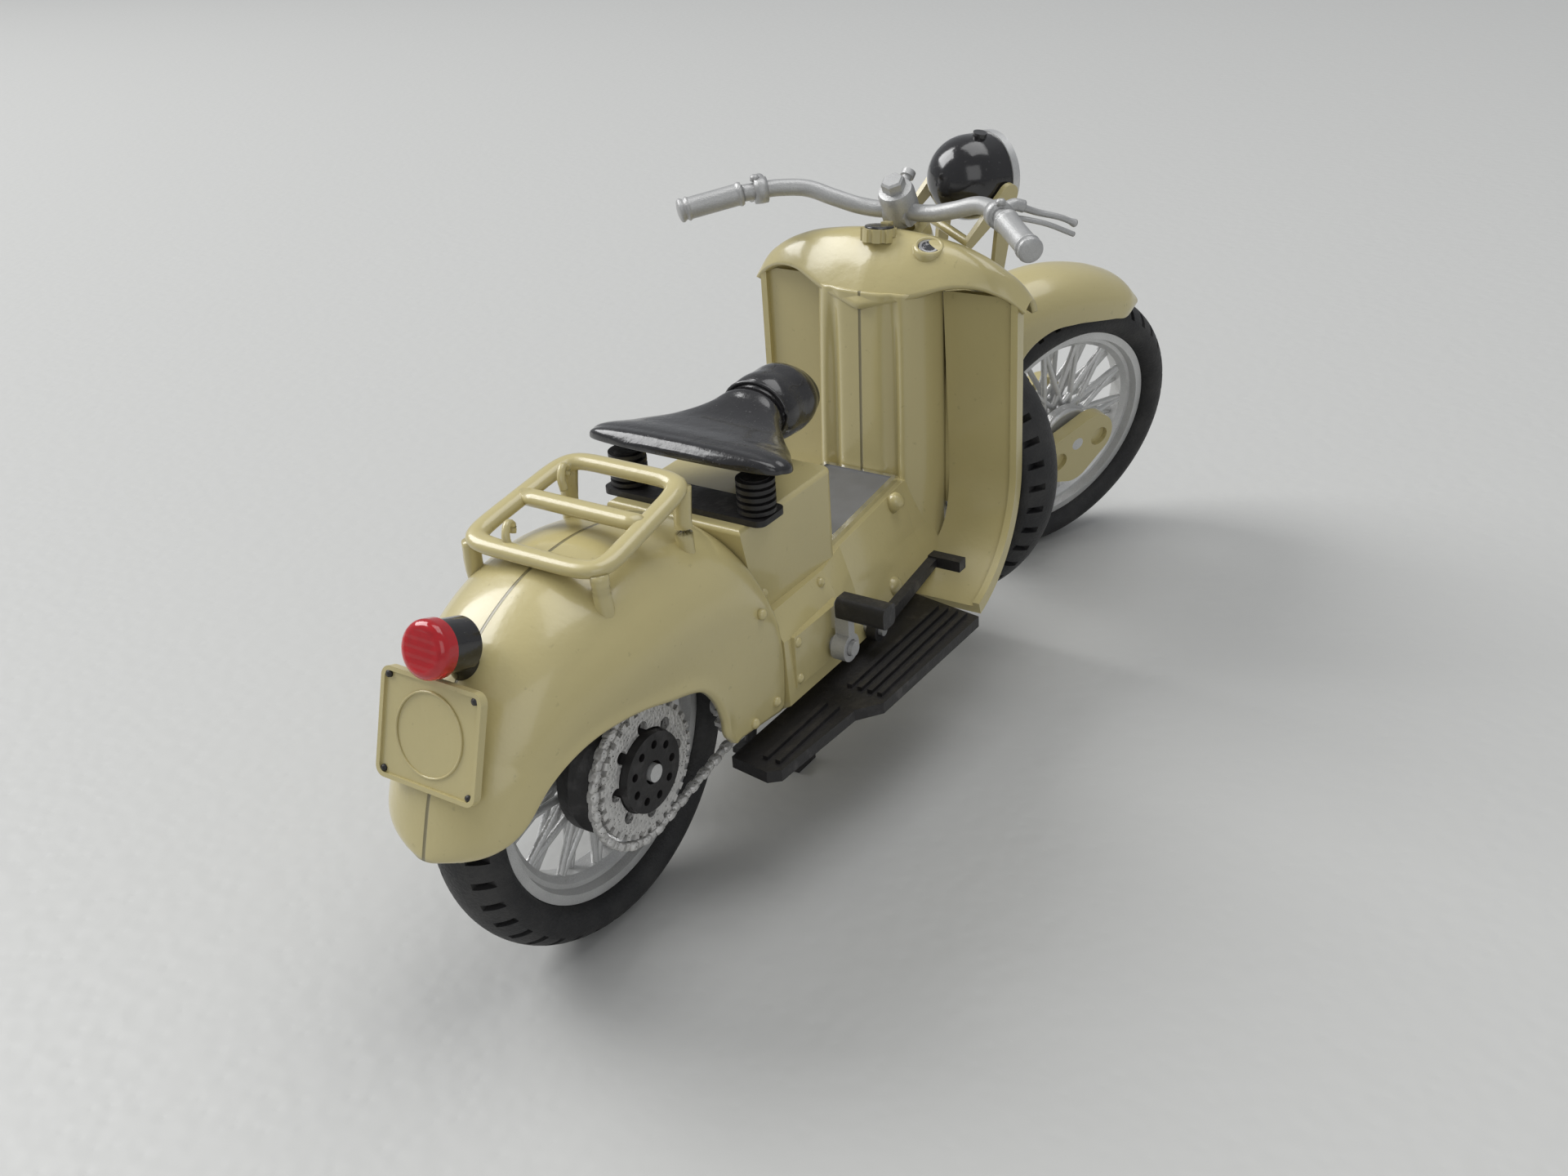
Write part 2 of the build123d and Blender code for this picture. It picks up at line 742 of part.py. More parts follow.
lug_side = 0.7
with BuildPart() as stand_lugs:
    with BuildSketch(Plane.XZ.offset(-lug_side - 0.5)):
        with Locations((stand_pivot_x, case_bottom - 0.75)):
            Rectangle(1.8, 1.5)
        with Locations((stand_pivot_x, stand_pivot_z - 0.2)):
            Circle(1.0)
        with Locations((stand_pivot_x, stand_pivot_z)):
            Circle(0.45 + running_gap, mode=Mode.SUBTRACT)
    extrude(amount=1.0)
    mirror(about=Plane.XZ)
    with Locations((stand_pivot_x, 0, case_bottom + 2)):
        Box(6, 12, 4, mode=Mode.SUBTRACT)
write_piece(stand_lugs, "stand_lugs")

stand_eye_side = 2.0
with BuildPart() as centre_stand:
    add(bar_between((stand_pivot_x, -stand_eye_side, stand_pivot_z), (stand_pivot_x, stand_eye_side, stand_pivot_z), 0.45))
    for hand in (-1, 1):
        knee = (stand_pivot_x, hand * stand_eye_side, stand_pivot_z)
        heel = (stand_foot_x, hand * (stand_half_width - 0.6), 0.35)
        add(bar_between(knee, heel, 0.42))
        with Locations(knee):
            Sphere(0.55)
        with Locations((stand_foot_x - 0.3, hand * (stand_half_width - 0.5), 0.2)):
            Box(2.2, 1.0, 0.4)
write_piece(centre_stand, "centre_stand")

# ---------------------------------------------------------------- front fork
# The fork group is drawn pointing straight ahead and turned as one when it is written.
crown_low = 18.4
crown_high = 19.8
blade_foot = 0.6
quill_radius = 0.5
quill_low = 24.0
stem_top = head_top - 0.4
with BuildPart() as fork:
    with BuildSketch(head_plane(crown_low)):
        with Locations((blade_ahead, 0)):
            SlotCenterToCenter(2 * blade_side, 2 * blade_radius + 0.4, rotation=90)
        with Locations((blade_ahead / 2, 0)):
            Rectangle(blade_ahead, 2 * stem_radius + 0.8)
        Circle(stem_radius + 0.4)
    extrude(amount=crown_high - crown_low)
    with BuildSketch(head_plane(crown_high)):
        Circle(stem_radius)
    extrude(amount=stem_top - crown_high)
    with BuildSketch(head_plane(quill_low)):
        Circle(quill_radius + running_gap)
    extrude(amount=stem_top - quill_low, mode=Mode.SUBTRACT)
    for side in (-blade_side, blade_side):
        with BuildSketch(head_plane(blade_foot, blade_ahead, side)):
            Circle(blade_radius)
        extrude(amount=crown_low - blade_foot)
write_piece(fork, "fork", fork_pose)


def write_turned_pair(piece, label):
    """Writes a piece of the fork's right side and its mirror image, both turned with the fork."""
    write_piece(piece, f"{label}_right", fork_pose)
    with BuildPart() as other:
        add(mirror(piece.part, about=Plane.XZ, mode=Mode.PRIVATE))
    write_piece(other, f"{label}_left", fork_pose)


# Leading link: a shaped block that carries the axle ahead of the blade foot.
link_foot = on_head(blade_foot, blade_ahead)
link_outline = make_hull(
    [
        Edge.make_circle(2.2).moved(Location((front_axle.X + 1.5, front_axle.Z + 0.2, 0))),
        Edge.make_circle(1.9).moved(Location((front_axle.X + 0.2, front_axle.Z - 1.8, 0))),
        Edge.make_circle(1.2).moved(Location((link_foot.X, link_foot.Z, 0))),
    ],
    mode=Mode.PRIVATE,
)
with BuildPart() as fork_link:
    with BuildSketch(Plane.XZ.offset(link_side)):
        add(link_outline)
        with Locations((front_axle.X, front_axle.Z)):
            Circle(axle_radius, mode=Mode.SUBTRACT)
    extrude(amount=link_thickness)
    with BuildSketch(Plane.XZ.offset(link_side + link_thickness)):
        with Locations((front_axle.X + 2.3, front_axle.Z + 0.2), (front_axle.X - 1.7, front_axle.Z - 1.4)):
            Circle(0.85)
    extrude(amount=-0.4, mode=Mode.SUBTRACT)
    add(fork.part, mode=Mode.SUBTRACT)
write_turned_pair(fork_link, "fork_link")

# Front fender: a hooded shell over the wheel, open underneath.
fender_half_width = 3.25
fender_wall = 0.5
fender_clearance = 0.85
fender_top_line = [(-13.2, 12.6), (-10.0, 14.3), (-6.2, 14.9), (-3.2, 14.6), (0.5, 13.9), (3.2, 13.1)]
fender_tip = (4.5, 12.0)
fender_skirt = [(2.3, 11.0), (-0.8, 11.2), (-5.1, 11.3), (-7.0, 9.6), (-7.4, 7.5), (-9.4, 3.6), (-11.6, 0.4)]
fender_heel = [(-13.0, 0.4), (-13.4, 6.5)]


def by_wheel(points):
    """Side points given ahead of and above the front axle, as places in the side view."""
    return [(front_axle.X + ahead, front_axle.Z + up) for ahead, up in points]


with BuildPart() as front_fender:
    with BuildSketch(Plane.XZ.offset(-fender_half_width)):
        with BuildLine():
            top_line = Spline(*by_wheel(fender_top_line))
            ThreePointArc(top_line @ 1, *by_wheel([(4.1, 12.7), fender_tip]))
            Polyline(*by_wheel([fender_tip, *fender_skirt, *fender_heel, fender_top_line[0]]))
        make_face()
    extrude(amount=2 * fender_half_width)
    outer_edges = front_fender.edges().filter_by(GeomType.BSPLINE)
    fillet(outer_edges, radius=1.1)
    with BuildSketch(Plane.XZ.offset(-fender_half_width + fender_wall)):
        Polygon(*by_wheel([(-12.9, 12.0), (-10.0, 13.4), (-6.2, 14.0), (-3.2, 13.7), (-3, 0), (-12.9, 0)]), align=None)
    extrude(amount=2 * (fender_half_width - fender_wall), mode=Mode.SUBTRACT)
    with Locations(Plane(origin=front_axle, z_dir=(0, -1, 0))):
        Cylinder(wheel_radius + fender_clearance, 2 * (fender_half_width - fender_wall), mode=Mode.SUBTRACT)
    add(fork.part, mode=Mode.SUBTRACT)
write_piece(front_fender, "front_fender", fork_pose)

# Headlamp on its two struts.
lamp_centre = Vector(18.0, 0, 35.5)
lamp_front = 1.2
lamp_waist = -0.3
lamp_plane = Plane(origin=lamp_centre, x_dir=(0, 1, 0), z_dir=(1, 0, 0))
with BuildPart() as lamp_shell:
    with BuildSketch(Plane(origin=lamp_centre, x_dir=(1, 0, 0), z_dir=(0, -1, 0))):
        with BuildLine():
            Line((lamp_front, 0), (lamp_front, lamp_radius))
            Line((lamp_front, lamp_radius), (lamp_waist, lamp_radius))
            CenterArc((lamp_waist, 0), lamp_radius, 90, 90)
            Line((lamp_waist - lamp_radius, 0), (lamp_front, 0))
        make_face()
    revolve(axis=Axis(lamp_centre, (1, 0, 0)))
    with BuildSketch(Plane.XY.offset(lamp_centre.Z + lamp_radius - 0.3)):
        with Locations((lamp_centre.X, 0)):
            Circle(0.5)
    extrude(amount=0.6)
write_piece(lamp_shell, "headlamp_shell", fork_pose)

with BuildPart() as lamp_rim:
    with BuildSketch(lamp_plane.offset(lamp_front)):
        Circle(lamp_radius + 0.1)
        Circle(lamp_radius - 0.35, mode=Mode.SUBTRACT)
    extrude(amount=0.6)
write_piece(lamp_rim, "headlamp_rim", fork_pose)

with BuildPart() as lamp_lens:
    with BuildSketch(lamp_plane.offset(lamp_front)):
        Circle(lamp_radius - 0.35)
    extrude(amount=0.75)
write_piece(lamp_lens, "headlamp_lens", fork_pose)

strut_side = lamp_radius + 0.12
strut_thickness = 0.4
lamp_pivot = (18.6, 35.5)
strut_foot = (15.8, 32.2)
strut_toe = on_head((crown_low + crown_high) / 2, blade_ahead + 0.9)
with BuildPart() as lamp_bracket:
    with BuildSketch(Plane.XZ.offset(strut_side)):
        add(
            make_hull(
                [
                    Edge.make_circle(0.75).moved(Location((*lamp_pivot, 0))),
                    Edge.make_circle(0.4).moved(Location((*strut_foot, 0))),
                ],
                mode=Mode.PRIVATE,
            )
        )
        add(
            make_hull(
                [
                    Edge.make_circle(0.75).moved(Location((*lamp_pivot, 0))),
                    Edge.make_circle(0.4).moved(Location((strut_toe.X, strut_toe.Z, 0))),
                ],
                mode=Mode.PRIVATE,
            )
        )
    extrude(amount=strut_thickness)
    add(bar_between((strut_foot[0], -strut_side - 0.1, strut_foot[1]), (strut_foot[0], 0, strut_foot[1]), 0.35))
    mirror(about=Plane.XZ)
    add(fork.part, mode=Mode.SUBTRACT)
write_piece(lamp_bracket, "lamp_bracket", fork_pose)

# ---------------------------------------------------------------- handlebar
boss_radius = 1.3
boss_low = head_top + part_gap
boss_high = 30.7
bar_middle = on_head(bar_height_s + 0.4, -0.4)
bar_route = [
    bar_middle,
    Vector(11.4, -2.6, 33.6),
    Vector(10.3, -6.95, 35.2),
    Vector(7.3, -10.3, 35.3),
]
with BuildPart() as handlebar:
    with BuildSketch(head_plane(boss_low)):
        Circle(boss_radius)
    extrude(amount=boss_high - boss_low)
    with BuildSketch(head_plane(boss_high)):
        RegularPolygon(0.9, 6)
    extrude(amount=0.7)
    with BuildSketch(head_plane(quill_low + part_gap)):
        Circle(quill_radius)
    extrude(amount=boss_low - quill_low - part_gap)
    for start, end in zip(bar_route, bar_route[1:]):
        add(bar_between(start, end, bar_radius))
        with Locations(end if end is not bar_route[-1] else start):
            Sphere(bar_radius)
    mirror(about=Plane.XZ)
write_piece(handlebar, "handlebar")

grip_end = Vector(4.4, -bar_half_width, 34.6)
with BuildPart() as grip:
    add(bar_between(bar_route[-1], grip_end, grip_radius))
    with Locations(grip_end):
        Sphere(grip_radius)
    add(handlebar.part, mode=Mode.SUBTRACT)
write_pair(grip, "grip")

lever_root = bar_route[-1] + (bar_route[-2] - bar_route[-1]) * 0.22
lever_tip = Vector(12.4, -12.6, 34.2)
with BuildPart() as lever:
    add(bar_between(lever_root + Vector(-0.3, 0.3, 0.55), lever_root + Vector(0.9, -0.9, 0.35), 0.6))
    add(bar_between(lever_root + Vector(0.5, -0.5, 0.45), lever_tip, 0.3))
    with Locations(lever_tip):
        Sphere(0.45)
    add(handlebar.part, mode=Mode.SUBTRACT)
    add(grip.part, mode=Mode.SUBTRACT)
write_pair(lever, "bar_lever")

# ---------------------------------------------------------------- saddle
saddle_low = 25.3
saddle_high = 27.2
nose_x = -5.0
nose_radius = 2.4
spring_x = -14.9
spring_side = 4.8
spring_radius = 1.2
with BuildPart() as saddle:
    with BuildSketch(Plane.XY.offset(saddle_low)):
        with BuildLine():
            Spline((-16.6, 0), (-16.2, 5.0), (-15.0, 7.1), (-12.6, 5.9), (-9.4, 3.4), (-7.8, 2.0), (nose_x, 1.9))
            Line((nose_x, 1.9), (nose_x, 0))
            Line((nose_x, 0), (-16.6, 0))
        make_face()
        mirror(about=Plane.XZ)
    extrude(amount=saddle_high - saddle_low)
    with Locations((nose_x, 0, saddle_low + 0.4)):
        Sphere(nose_radius)
write_piece(saddle, "saddle")

spring_ribs = 5
spring_low = box_top + 0.4
rib_pitch = (saddle_low - spring_low) / spring_ribs
with BuildPart() as saddle_springs:
    with BuildSketch(Plane.XY.offset(box_top)):
        with Locations((spring_x, 0)):
            RectangleRounded(2 * spring_radius + 0.4, 2 * (spring_side + spring_radius), 0.6)
    extrude(amount=spring_low - box_top)
    for side in (-spring_side, spring_side):
        with Locations((spring_x, side, (spring_low + saddle_low) / 2)):
            Cylinder(spring_radius - 0.3, saddle_low - spring_low)
        for number in range(spring_ribs):
            with Locations((spring_x, side, spring_low + (number + 0.5) * rib_pitch)):
                Cylinder(spring_radius, rib_pitch * 0.55)
write_piece(saddle_springs, "saddle_springs")

with BuildPart() as nose_strut:
    with BuildSketch(Plane.XZ.offset(-0.7)):
        Polygon((-8.2, box_top), (-6.9, box_top), (-5.4, saddle_low), (-6.9, saddle_low), align=None)
    extrude(amount=1.4)
    add(saddle.part, mode=Mode.SUBTRACT)
write_piece(nose_strut, "saddle_strut")

# ---------------------------------------------------------------- rack, plate and tail lamp
rack_radius = 0.55
rack_corners = [Vector(-20.8, -4.2, 27.1), Vector(-29.5, -4.7, 25.5)]
leg_feet = [Vector(-21.1, -4.2, 22.4), Vector(-29.2, -4.7, 22.2)]
rack_rails = [(corner, Vector(corner.X, -corner.Y, corner.Z)) for corner in rack_corners]
rack_middle = (rack_corners[0] + rack_corners[1]) * 0.5
with BuildPart() as rack_form:
    add(
        [
            bar_between(rack_corners[0], rack_corners[1], rack_radius),
            bar_between(rack_rails[0][1], rack_rails[1][1], rack_radius),
            bar_between(*rack_rails[0], rack_radius),
            bar_between(*rack_rails[1], rack_radius),
            bar_between(rack_middle, Vector(rack_middle.X, -rack_middle.Y, rack_middle.Z), rack_radius * 0.8),
        ]
    )
    for corner, foot in zip(rack_corners, leg_feet):
        for side in (-1, 1):
            top = Vector(corner.X, side * abs(corner.Y), corner.Z)
            bottom = Vector(foot.X, side * abs(foot.Y), foot.Z)
            add(bar_between(top, bottom, rack_radius * 0.8))
            with Locations(top):
                Sphere(rack_radius)
    add(body.part, mode=Mode.SUBTRACT)
with BuildPart() as rack:
    add(rack_form.solids().sort_by(SortBy.VOLUME)[-1])
write_piece(rack, "rack")

plate_top = Vector(-37.4, 0, 22.2)
plate_foot = Vector(-39.3, 0, 16.4)
plate_half_width = 3.5
plate_thickness = 0.5
plate_up = plate_top - plate_foot
plate_plane = Plane(origin=(plate_top + plate_foot) * 0.5, x_dir=(0, 1, 0), z_dir=(-plate_up.Z, 0, plate_up.X))
with BuildPart() as number_plate:
    with BuildSketch(plate_plane):
        RectangleRounded(2 * plate_half_width, plate_up.length, 0.6)
    extrude(amount=plate_thickness)
    with BuildSketch(plate_plane.offset(plate_thickness)):
        RectangleRounded(2 * plate_half_width - 0.5, plate_up.length - 0.5, 0.4)
    extrude(amount=-0.15, mode=Mode.SUBTRACT)
    add(body.part, mode=Mode.SUBTRACT)
write_piece(number_plate, "number_plate")

lamp_tilt = Vector(-0.94, 0, 0.33)
tail_plane = Plane(origin=(-35.4, 0, 23.2), x_dir=(0, 1, 0), z_dir=lamp_tilt)
tail_length = 1.9
tail_radius = 1.6
with BuildPart() as tail_housing:
    with BuildSketch(tail_plane):
        Circle(tail_radius - 0.15)
    extrude(amount=tail_length)
    add(bar_between(Vector(-36.0, 0, 23.3), Vector(-35.2, 0, 21.4), 0.9))
    add(fender_form(0), mode=Mode.SUBTRACT)
    add(number_plate.part, mode=Mode.SUBTRACT)
write_piece(tail_housing, "tail_lamp_housing")

with BuildPart() as tail_lens:
    with BuildSketch(tail_plane.offset(tail_length)):
        Circle(tail_radius)
    extrude(amount=1.1)
    fillet(tail_lens.faces().sort_by(Axis.X)[0].edges(), radius=0.5)
write_piece(tail_lens, "tail_lamp_lens")

# ---------------------------------------------------------------- spare wheel carrier
spare_boss_front = spare_x - hub_half_width
with BuildPart() as spare_carrier:
    with BuildSketch(Plane.YZ.offset(spare_boss_front)):
        with Locations((0, spare_z)):
            Circle(1.6)
    extrude(amount=column_front_x - spare_boss_front - 0.4)
    add(column.part, mode=Mode.SUBTRACT)
    with BuildSketch(Plane.YZ.offset(spare_boss_front)):
        with Locations((0, spare_z)):
            Circle(axle_radius)
    extrude(amount=2 * hub_half_width)
    with BuildSketch(Plane.YZ.offset(spare_x + hub_half_width)):
        with Locations((0, spare_z)):
            RegularPolygon(1.2, 6)
    extrude(amount=0.8)
write_piece(spare_carrier, "spare_carrier")
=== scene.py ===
import json
from math import atan2, cos, pi, radians, sin

import bmesh
import bpy
import numpy as np
from bpy.props import FloatProperty, FloatVectorProperty, IntProperty, PointerProperty
from mathutils import Matrix, Vector


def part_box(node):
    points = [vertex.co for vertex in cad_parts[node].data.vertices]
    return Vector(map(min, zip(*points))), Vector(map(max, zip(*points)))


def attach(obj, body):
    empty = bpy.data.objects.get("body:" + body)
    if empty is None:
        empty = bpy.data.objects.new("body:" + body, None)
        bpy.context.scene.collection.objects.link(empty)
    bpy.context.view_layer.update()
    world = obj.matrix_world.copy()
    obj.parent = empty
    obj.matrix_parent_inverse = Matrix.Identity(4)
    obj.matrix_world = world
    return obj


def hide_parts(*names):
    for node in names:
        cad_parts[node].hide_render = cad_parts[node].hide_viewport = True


bl_info = {
    "name": "Model motor scooter",
    "version": (1, 0, 0),
    "blender": (4, 5, 0),
    "location": "3D View > Sidebar > Scooter",
    "description": "Surfaces and finishes of a small collectors' motor scooter",
    "category": "Add Mesh",
}

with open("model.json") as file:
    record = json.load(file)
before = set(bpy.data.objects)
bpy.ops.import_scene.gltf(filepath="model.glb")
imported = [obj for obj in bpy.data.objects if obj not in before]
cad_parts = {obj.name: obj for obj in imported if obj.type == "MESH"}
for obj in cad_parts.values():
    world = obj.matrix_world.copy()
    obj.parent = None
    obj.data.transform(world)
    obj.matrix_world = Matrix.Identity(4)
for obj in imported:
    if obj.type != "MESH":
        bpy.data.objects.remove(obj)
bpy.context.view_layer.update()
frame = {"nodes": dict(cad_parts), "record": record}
MM = 0.001


def low(node):
    """Lowest corner of a frame node in millimetres."""
    return np.array(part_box(node)[0]) / MM


def high(node):
    """Highest corner of a frame node in millimetres."""
    return np.array(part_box(node)[1]) / MM


def middle(node):
    """Middle of a frame node's box in millimetres."""
    return (low(node) + high(node)) / 2


def joint(name):
    """Place in millimetres and unit direction of a frame joint."""
    found = next(one for one in frame["record"]["behaviour"]["joints"] if one["name"] == name)
    axis = np.array(found["axis"], float)
    return np.array(found["pos_m"]) / MM, axis / np.linalg.norm(axis)


REAR_AXLE = middle("rear_tyre")
WHEEL_RADIUS = (high("rear_tyre") - low("rear_tyre"))[2] / 2
STEERING_PLACE, HEAD_UP = joint("handlebar_turn")
HEAD_AHEAD = np.cross(np.array([0.0, 1.0, 0.0]), HEAD_UP)


# ---------------------------------------------------------------- user's sizes and colours
class ScooterSizes(bpy.types.PropertyGroup):
    """Sizes that a user may change."""

    body_wall: FloatProperty(
        name="Body wall", description="Thickness of the painted shells", default=0.45 * MM, unit="LENGTH"
    )
    bar_radius: FloatProperty(
        name="Bar radius", description="Radius of the handlebar tube", default=0.6 * MM, unit="LENGTH"
    )
    grip_radius: FloatProperty(
        name="Grip radius", description="Radius of the handlebar grips", default=0.78 * MM, unit="LENGTH"
    )
    rack_radius: FloatProperty(
        name="Rack radius", description="Radius of the rack's bars", default=0.66 * MM, unit="LENGTH"
    )
    chain_pitch: FloatProperty(
        name="Chain pitch", description="Distance between chain links", default=0.62 * MM, unit="LENGTH"
    )
    fine: IntProperty(
        name="Fineness", description="Grid steps across a large surface", default=96, min=24, max=200
    )


class ScooterColours(bpy.types.PropertyGroup):
    """Colours that a user may change."""

    cream: FloatVectorProperty(
        name="Cream", description="Body paint", default=(0.50, 0.43, 0.205), subtype="COLOR"
    )
    silver: FloatVectorProperty(
        name="Silver", description="Bars, rims and spokes", default=(0.42, 0.42, 0.415), subtype="COLOR"
    )
    black: FloatVectorProperty(
        name="Black", description="Saddle, springs and lamp", default=(0.012, 0.011, 0.012), subtype="COLOR"
    )
    mat: FloatVectorProperty(
        name="Mat", description="Floor mat", default=(0.13, 0.13, 0.13), subtype="COLOR"
    )
    lens: FloatVectorProperty(
        name="Tail lens", description="Red tail lamp lens", default=(0.62, 0.012, 0.02), subtype="COLOR"
    )
    floor: FloatVectorProperty(
        name="Floor", description="Ground under the model", default=(0.52, 0.52, 0.505), subtype="COLOR"
    )


# ---------------------------------------------------------------- shader expressions
class Value:
    """A number socket; arithmetic on it adds Math nodes."""

    def __init__(self, finish, socket):
        self.finish = finish
        self.socket = socket

    def math(self, operation, *values):
        return self.finish.value("ShaderNodeMath", {"operation": operation}, dict(enumerate(values)))

    def __add__(self, other):
        return self.math("ADD", self, other)

    def __radd__(self, other):
        return self.math("ADD", other, self)

    def __sub__(self, other):
        return self.math("SUBTRACT", self, other)

    def __rsub__(self, other):
        return self.math("SUBTRACT", other, self)

    def __mul__(self, other):
        return self.math("MULTIPLY", self, other)

    def __rmul__(self, other):
        return self.math("MULTIPLY", other, self)

    def __truediv__(self, other):
        return self.math("DIVIDE", self, other)

    def __rtruediv__(self, other):
        return self.math("DIVIDE", other, self)

    def __abs__(self):
        return self.math("ABSOLUTE", self)

    def above(self, edge, width):
        """0 below the edge, 1 above it, smooth over the width."""
        settings = {"interpolation_type": "SMOOTHSTEP"}
        sockets = {"Value": self, "From Min": edge - width / 2, "From Max": edge + width / 2}
        return self.finish.value("ShaderNodeMapRange", settings, sockets)


class Finish:
    """One material with a Principled shader, built from expressions."""

    def __init__(self, name, colour, roughness, **constants):
        self.material = bpy.data.materials.new(name)
        self.material.use_nodes = True
        self.material.diffuse_color = (*colour, 1)
        self.tree = self.material.node_tree
        self.shader = self.tree.nodes["Principled BSDF"]
        self.colour = tuple(colour)
        self.shader.inputs["Base Color"].default_value = (*colour, 1)
        self.shader.inputs["Roughness"].default_value = roughness
        for socket, number in constants.items():
            self.shader.inputs[socket.replace("_", " ")].default_value = number
        self.place = self.node("ShaderNodeTexCoord").outputs["Object"]

    def node(self, kind, settings=None, sockets=None):
        """Adds a node, sets it up first, then gives its sockets values or links."""
        added = self.tree.nodes.new(kind)
        for key, setting in (settings or {}).items():
            setattr(added, key, setting)
        for key, given in (sockets or {}).items():
            self.give(added.inputs[key], given)
        return added

    def give(self, socket, given):
        """Links a socket to a value or an output, or sets its number or colour."""
        source = given.socket if isinstance(given, Value) else given
        if isinstance(source, bpy.types.NodeSocket):
            self.tree.links.new(source, socket)
        elif isinstance(source, tuple) and len(source) == 3 and socket.type == "RGBA":
            socket.default_value = (*source, 1)
        else:
            socket.default_value = source

    def value(self, kind, settings=None, sockets=None, output=0):
        return Value(self, self.node(kind, settings, sockets).outputs[output])

    def noise(self, size_mm, detail=3.0, roughness=0.55):
        """Cloudy noise from 0 to 1 whose features are about this many millimetres."""
        sockets = {"Vector": self.place, "Scale": 1 / (size_mm * MM)}
        sockets.update({"Detail": detail, "Roughness": roughness})
        return self.value("ShaderNodeTexNoise", None, sockets)

    def cells(self, size_mm, feature="F1"):
        sockets = {"Vector": self.place, "Scale": 1 / (size_mm * MM)}
        return self.value("ShaderNodeTexVoronoi", {"feature": feature}, sockets)

    def along(self, letter):
        """One coordinate of the place, in metres."""
        parts = self.node("ShaderNodeSeparateXYZ", None, {0: self.place})
        return Value(self, parts.outputs[letter])

    def mix(self, factor, first, second):
        """Colour that goes from the first to the second as the factor goes from 0 to 1."""
        mixed = self.node("ShaderNodeMix", {"data_type": "RGBA"}, {0: factor, 6: first, 7: second})
        return mixed.outputs[2]

    def paint(self, colour):
        self.give(self.shader.inputs["Base Color"], colour)

    def rough(self, value):
        self.give(self.shader.inputs["Roughness"], value)

    def bump(self, height, depth_mm, strength=1.0):
        """Relief whose height value of 1 stands this many millimetres proud."""
        sockets = {"Height": height, "Distance": depth_mm * MM, "Strength": strength}
        self.give(self.shader.inputs["Normal"], self.node("ShaderNodeBump", None, sockets).outputs[0])


def shade(colour, factor):
    """The same colour, darker or lighter."""
    return tuple(min(1.0, part * factor) for part in colour)


def gloss_paint(name, colour, seam=None):
    """Sprayed gloss paint: mottling, orange peel and specks; a seam is a dark line in that coordinate."""
    paint = Finish(name, colour, 0.3, Coat_Weight=0.6, Coat_Roughness=0.12, Specular_IOR_Level=0.5)
    cloud = paint.noise(9.0, 4.0)
    specks = paint.noise(0.5, 2.0).above(0.72, 0.08)
    base = paint.mix(cloud, shade(colour, 0.93), shade(colour, 1.07))
    base = paint.mix(specks * 0.35, base, shade(colour, 0.62))
    peel = paint.noise(0.9, 2.0) * 0.7 + paint.noise(0.3, 1.0) * 0.3
    if seam:
        groove = 1.0 - abs(paint.along(seam)).above(0.09 * MM, 0.08 * MM)
        base = paint.mix(groove * 0.8, base, shade(colour, 0.22))
        peel = peel - groove * 3.0
    paint.paint(base)
    paint.rough(0.24 + cloud * 0.14)
    paint.bump(peel, 0.03)
    return paint.material


def cast_silver(name, colour, roughness=0.42):
    """Silver lacquer on a moulded part: fine flakes and a little wear."""
    silver = Finish(name, colour, roughness, Metallic=0.55, Specular_IOR_Level=0.5)
    flakes = silver.cells(0.09)
    grime = silver.noise(1.6, 5.0)
    base = silver.mix(grime, shade(colour, 0.78), shade(colour, 1.18))
    silver.paint(silver.mix(flakes * 0.35, base, shade(colour, 1.45)))
    silver.rough(roughness - 0.08 + grime * 0.2)
    silver.bump(flakes * 0.4 + grime, 0.035)
    return silver.material


def black_gloss(name, colour, roughness=0.16, grain_mm=0.5, grain_depth=0.02):
    """Glossy black moulding with a faint grain and dust."""
    black = Finish(name, colour, roughness, Coat_Weight=0.5, Coat_Roughness=0.08)
    dust = black.noise(0.25, 2.0).above(0.70, 0.1) * black.noise(4.0, 3.0)
    black.paint(black.mix(dust * 0.35, tuple(colour), (0.16, 0.155, 0.15)))
    black.rough(roughness + dust * 0.4)
    black.bump(black.noise(grain_mm, 3.0), grain_depth)
    return black.material


def satin_black(name, colour):
    """Satin black plastic with moulded grain and pale rubbed spots."""
    satin = Finish(name, colour, 0.42)
    rub = satin.noise(1.2, 5.0).above(0.60, 0.2)
    satin.paint(satin.mix(rub * 0.5, tuple(colour), shade(colour, 3.6)))
    satin.rough(0.5 - rub * 0.16)
    satin.bump(satin.noise(0.3, 3.0), 0.03)
    return satin.material


def tyre_rubber(name):
    """Black rubber, greyer where dust sits in the grain."""
    rubber = Finish(name, (0.018, 0.018, 0.019), 0.6)
    dust = rubber.noise(2.2, 6.0).above(0.55, 0.4)
    fine = rubber.noise(0.2, 2.0)
    rubber.paint(rubber.mix(dust * 0.45, (0.013, 0.013, 0.014), (0.052, 0.05, 0.047)))
    rubber.rough(0.5 + fine * 0.25)
    rubber.bump(fine, 0.05)
    return rubber.material


def mat_rubber(name, colour):
    """Grey ribbed mat."""
    mat = Finish(name, colour, 0.5)
    ribs = {"Vector": mat.place, "Scale": 0.5 / MM / 6.28}
    wave = mat.value("ShaderNodeTexWave", {"bands_direction": "Y"}, ribs, 1)
    cloud = mat.noise(1.5, 4.0)
    mat.paint(mat.mix(cloud, shade(colour, 0.8), shade(colour, 1.25)))
    mat.rough(0.42 + cloud * 0.2)
    mat.bump(wave * 0.4 + cloud * 0.5, 0.05)
    return mat.material


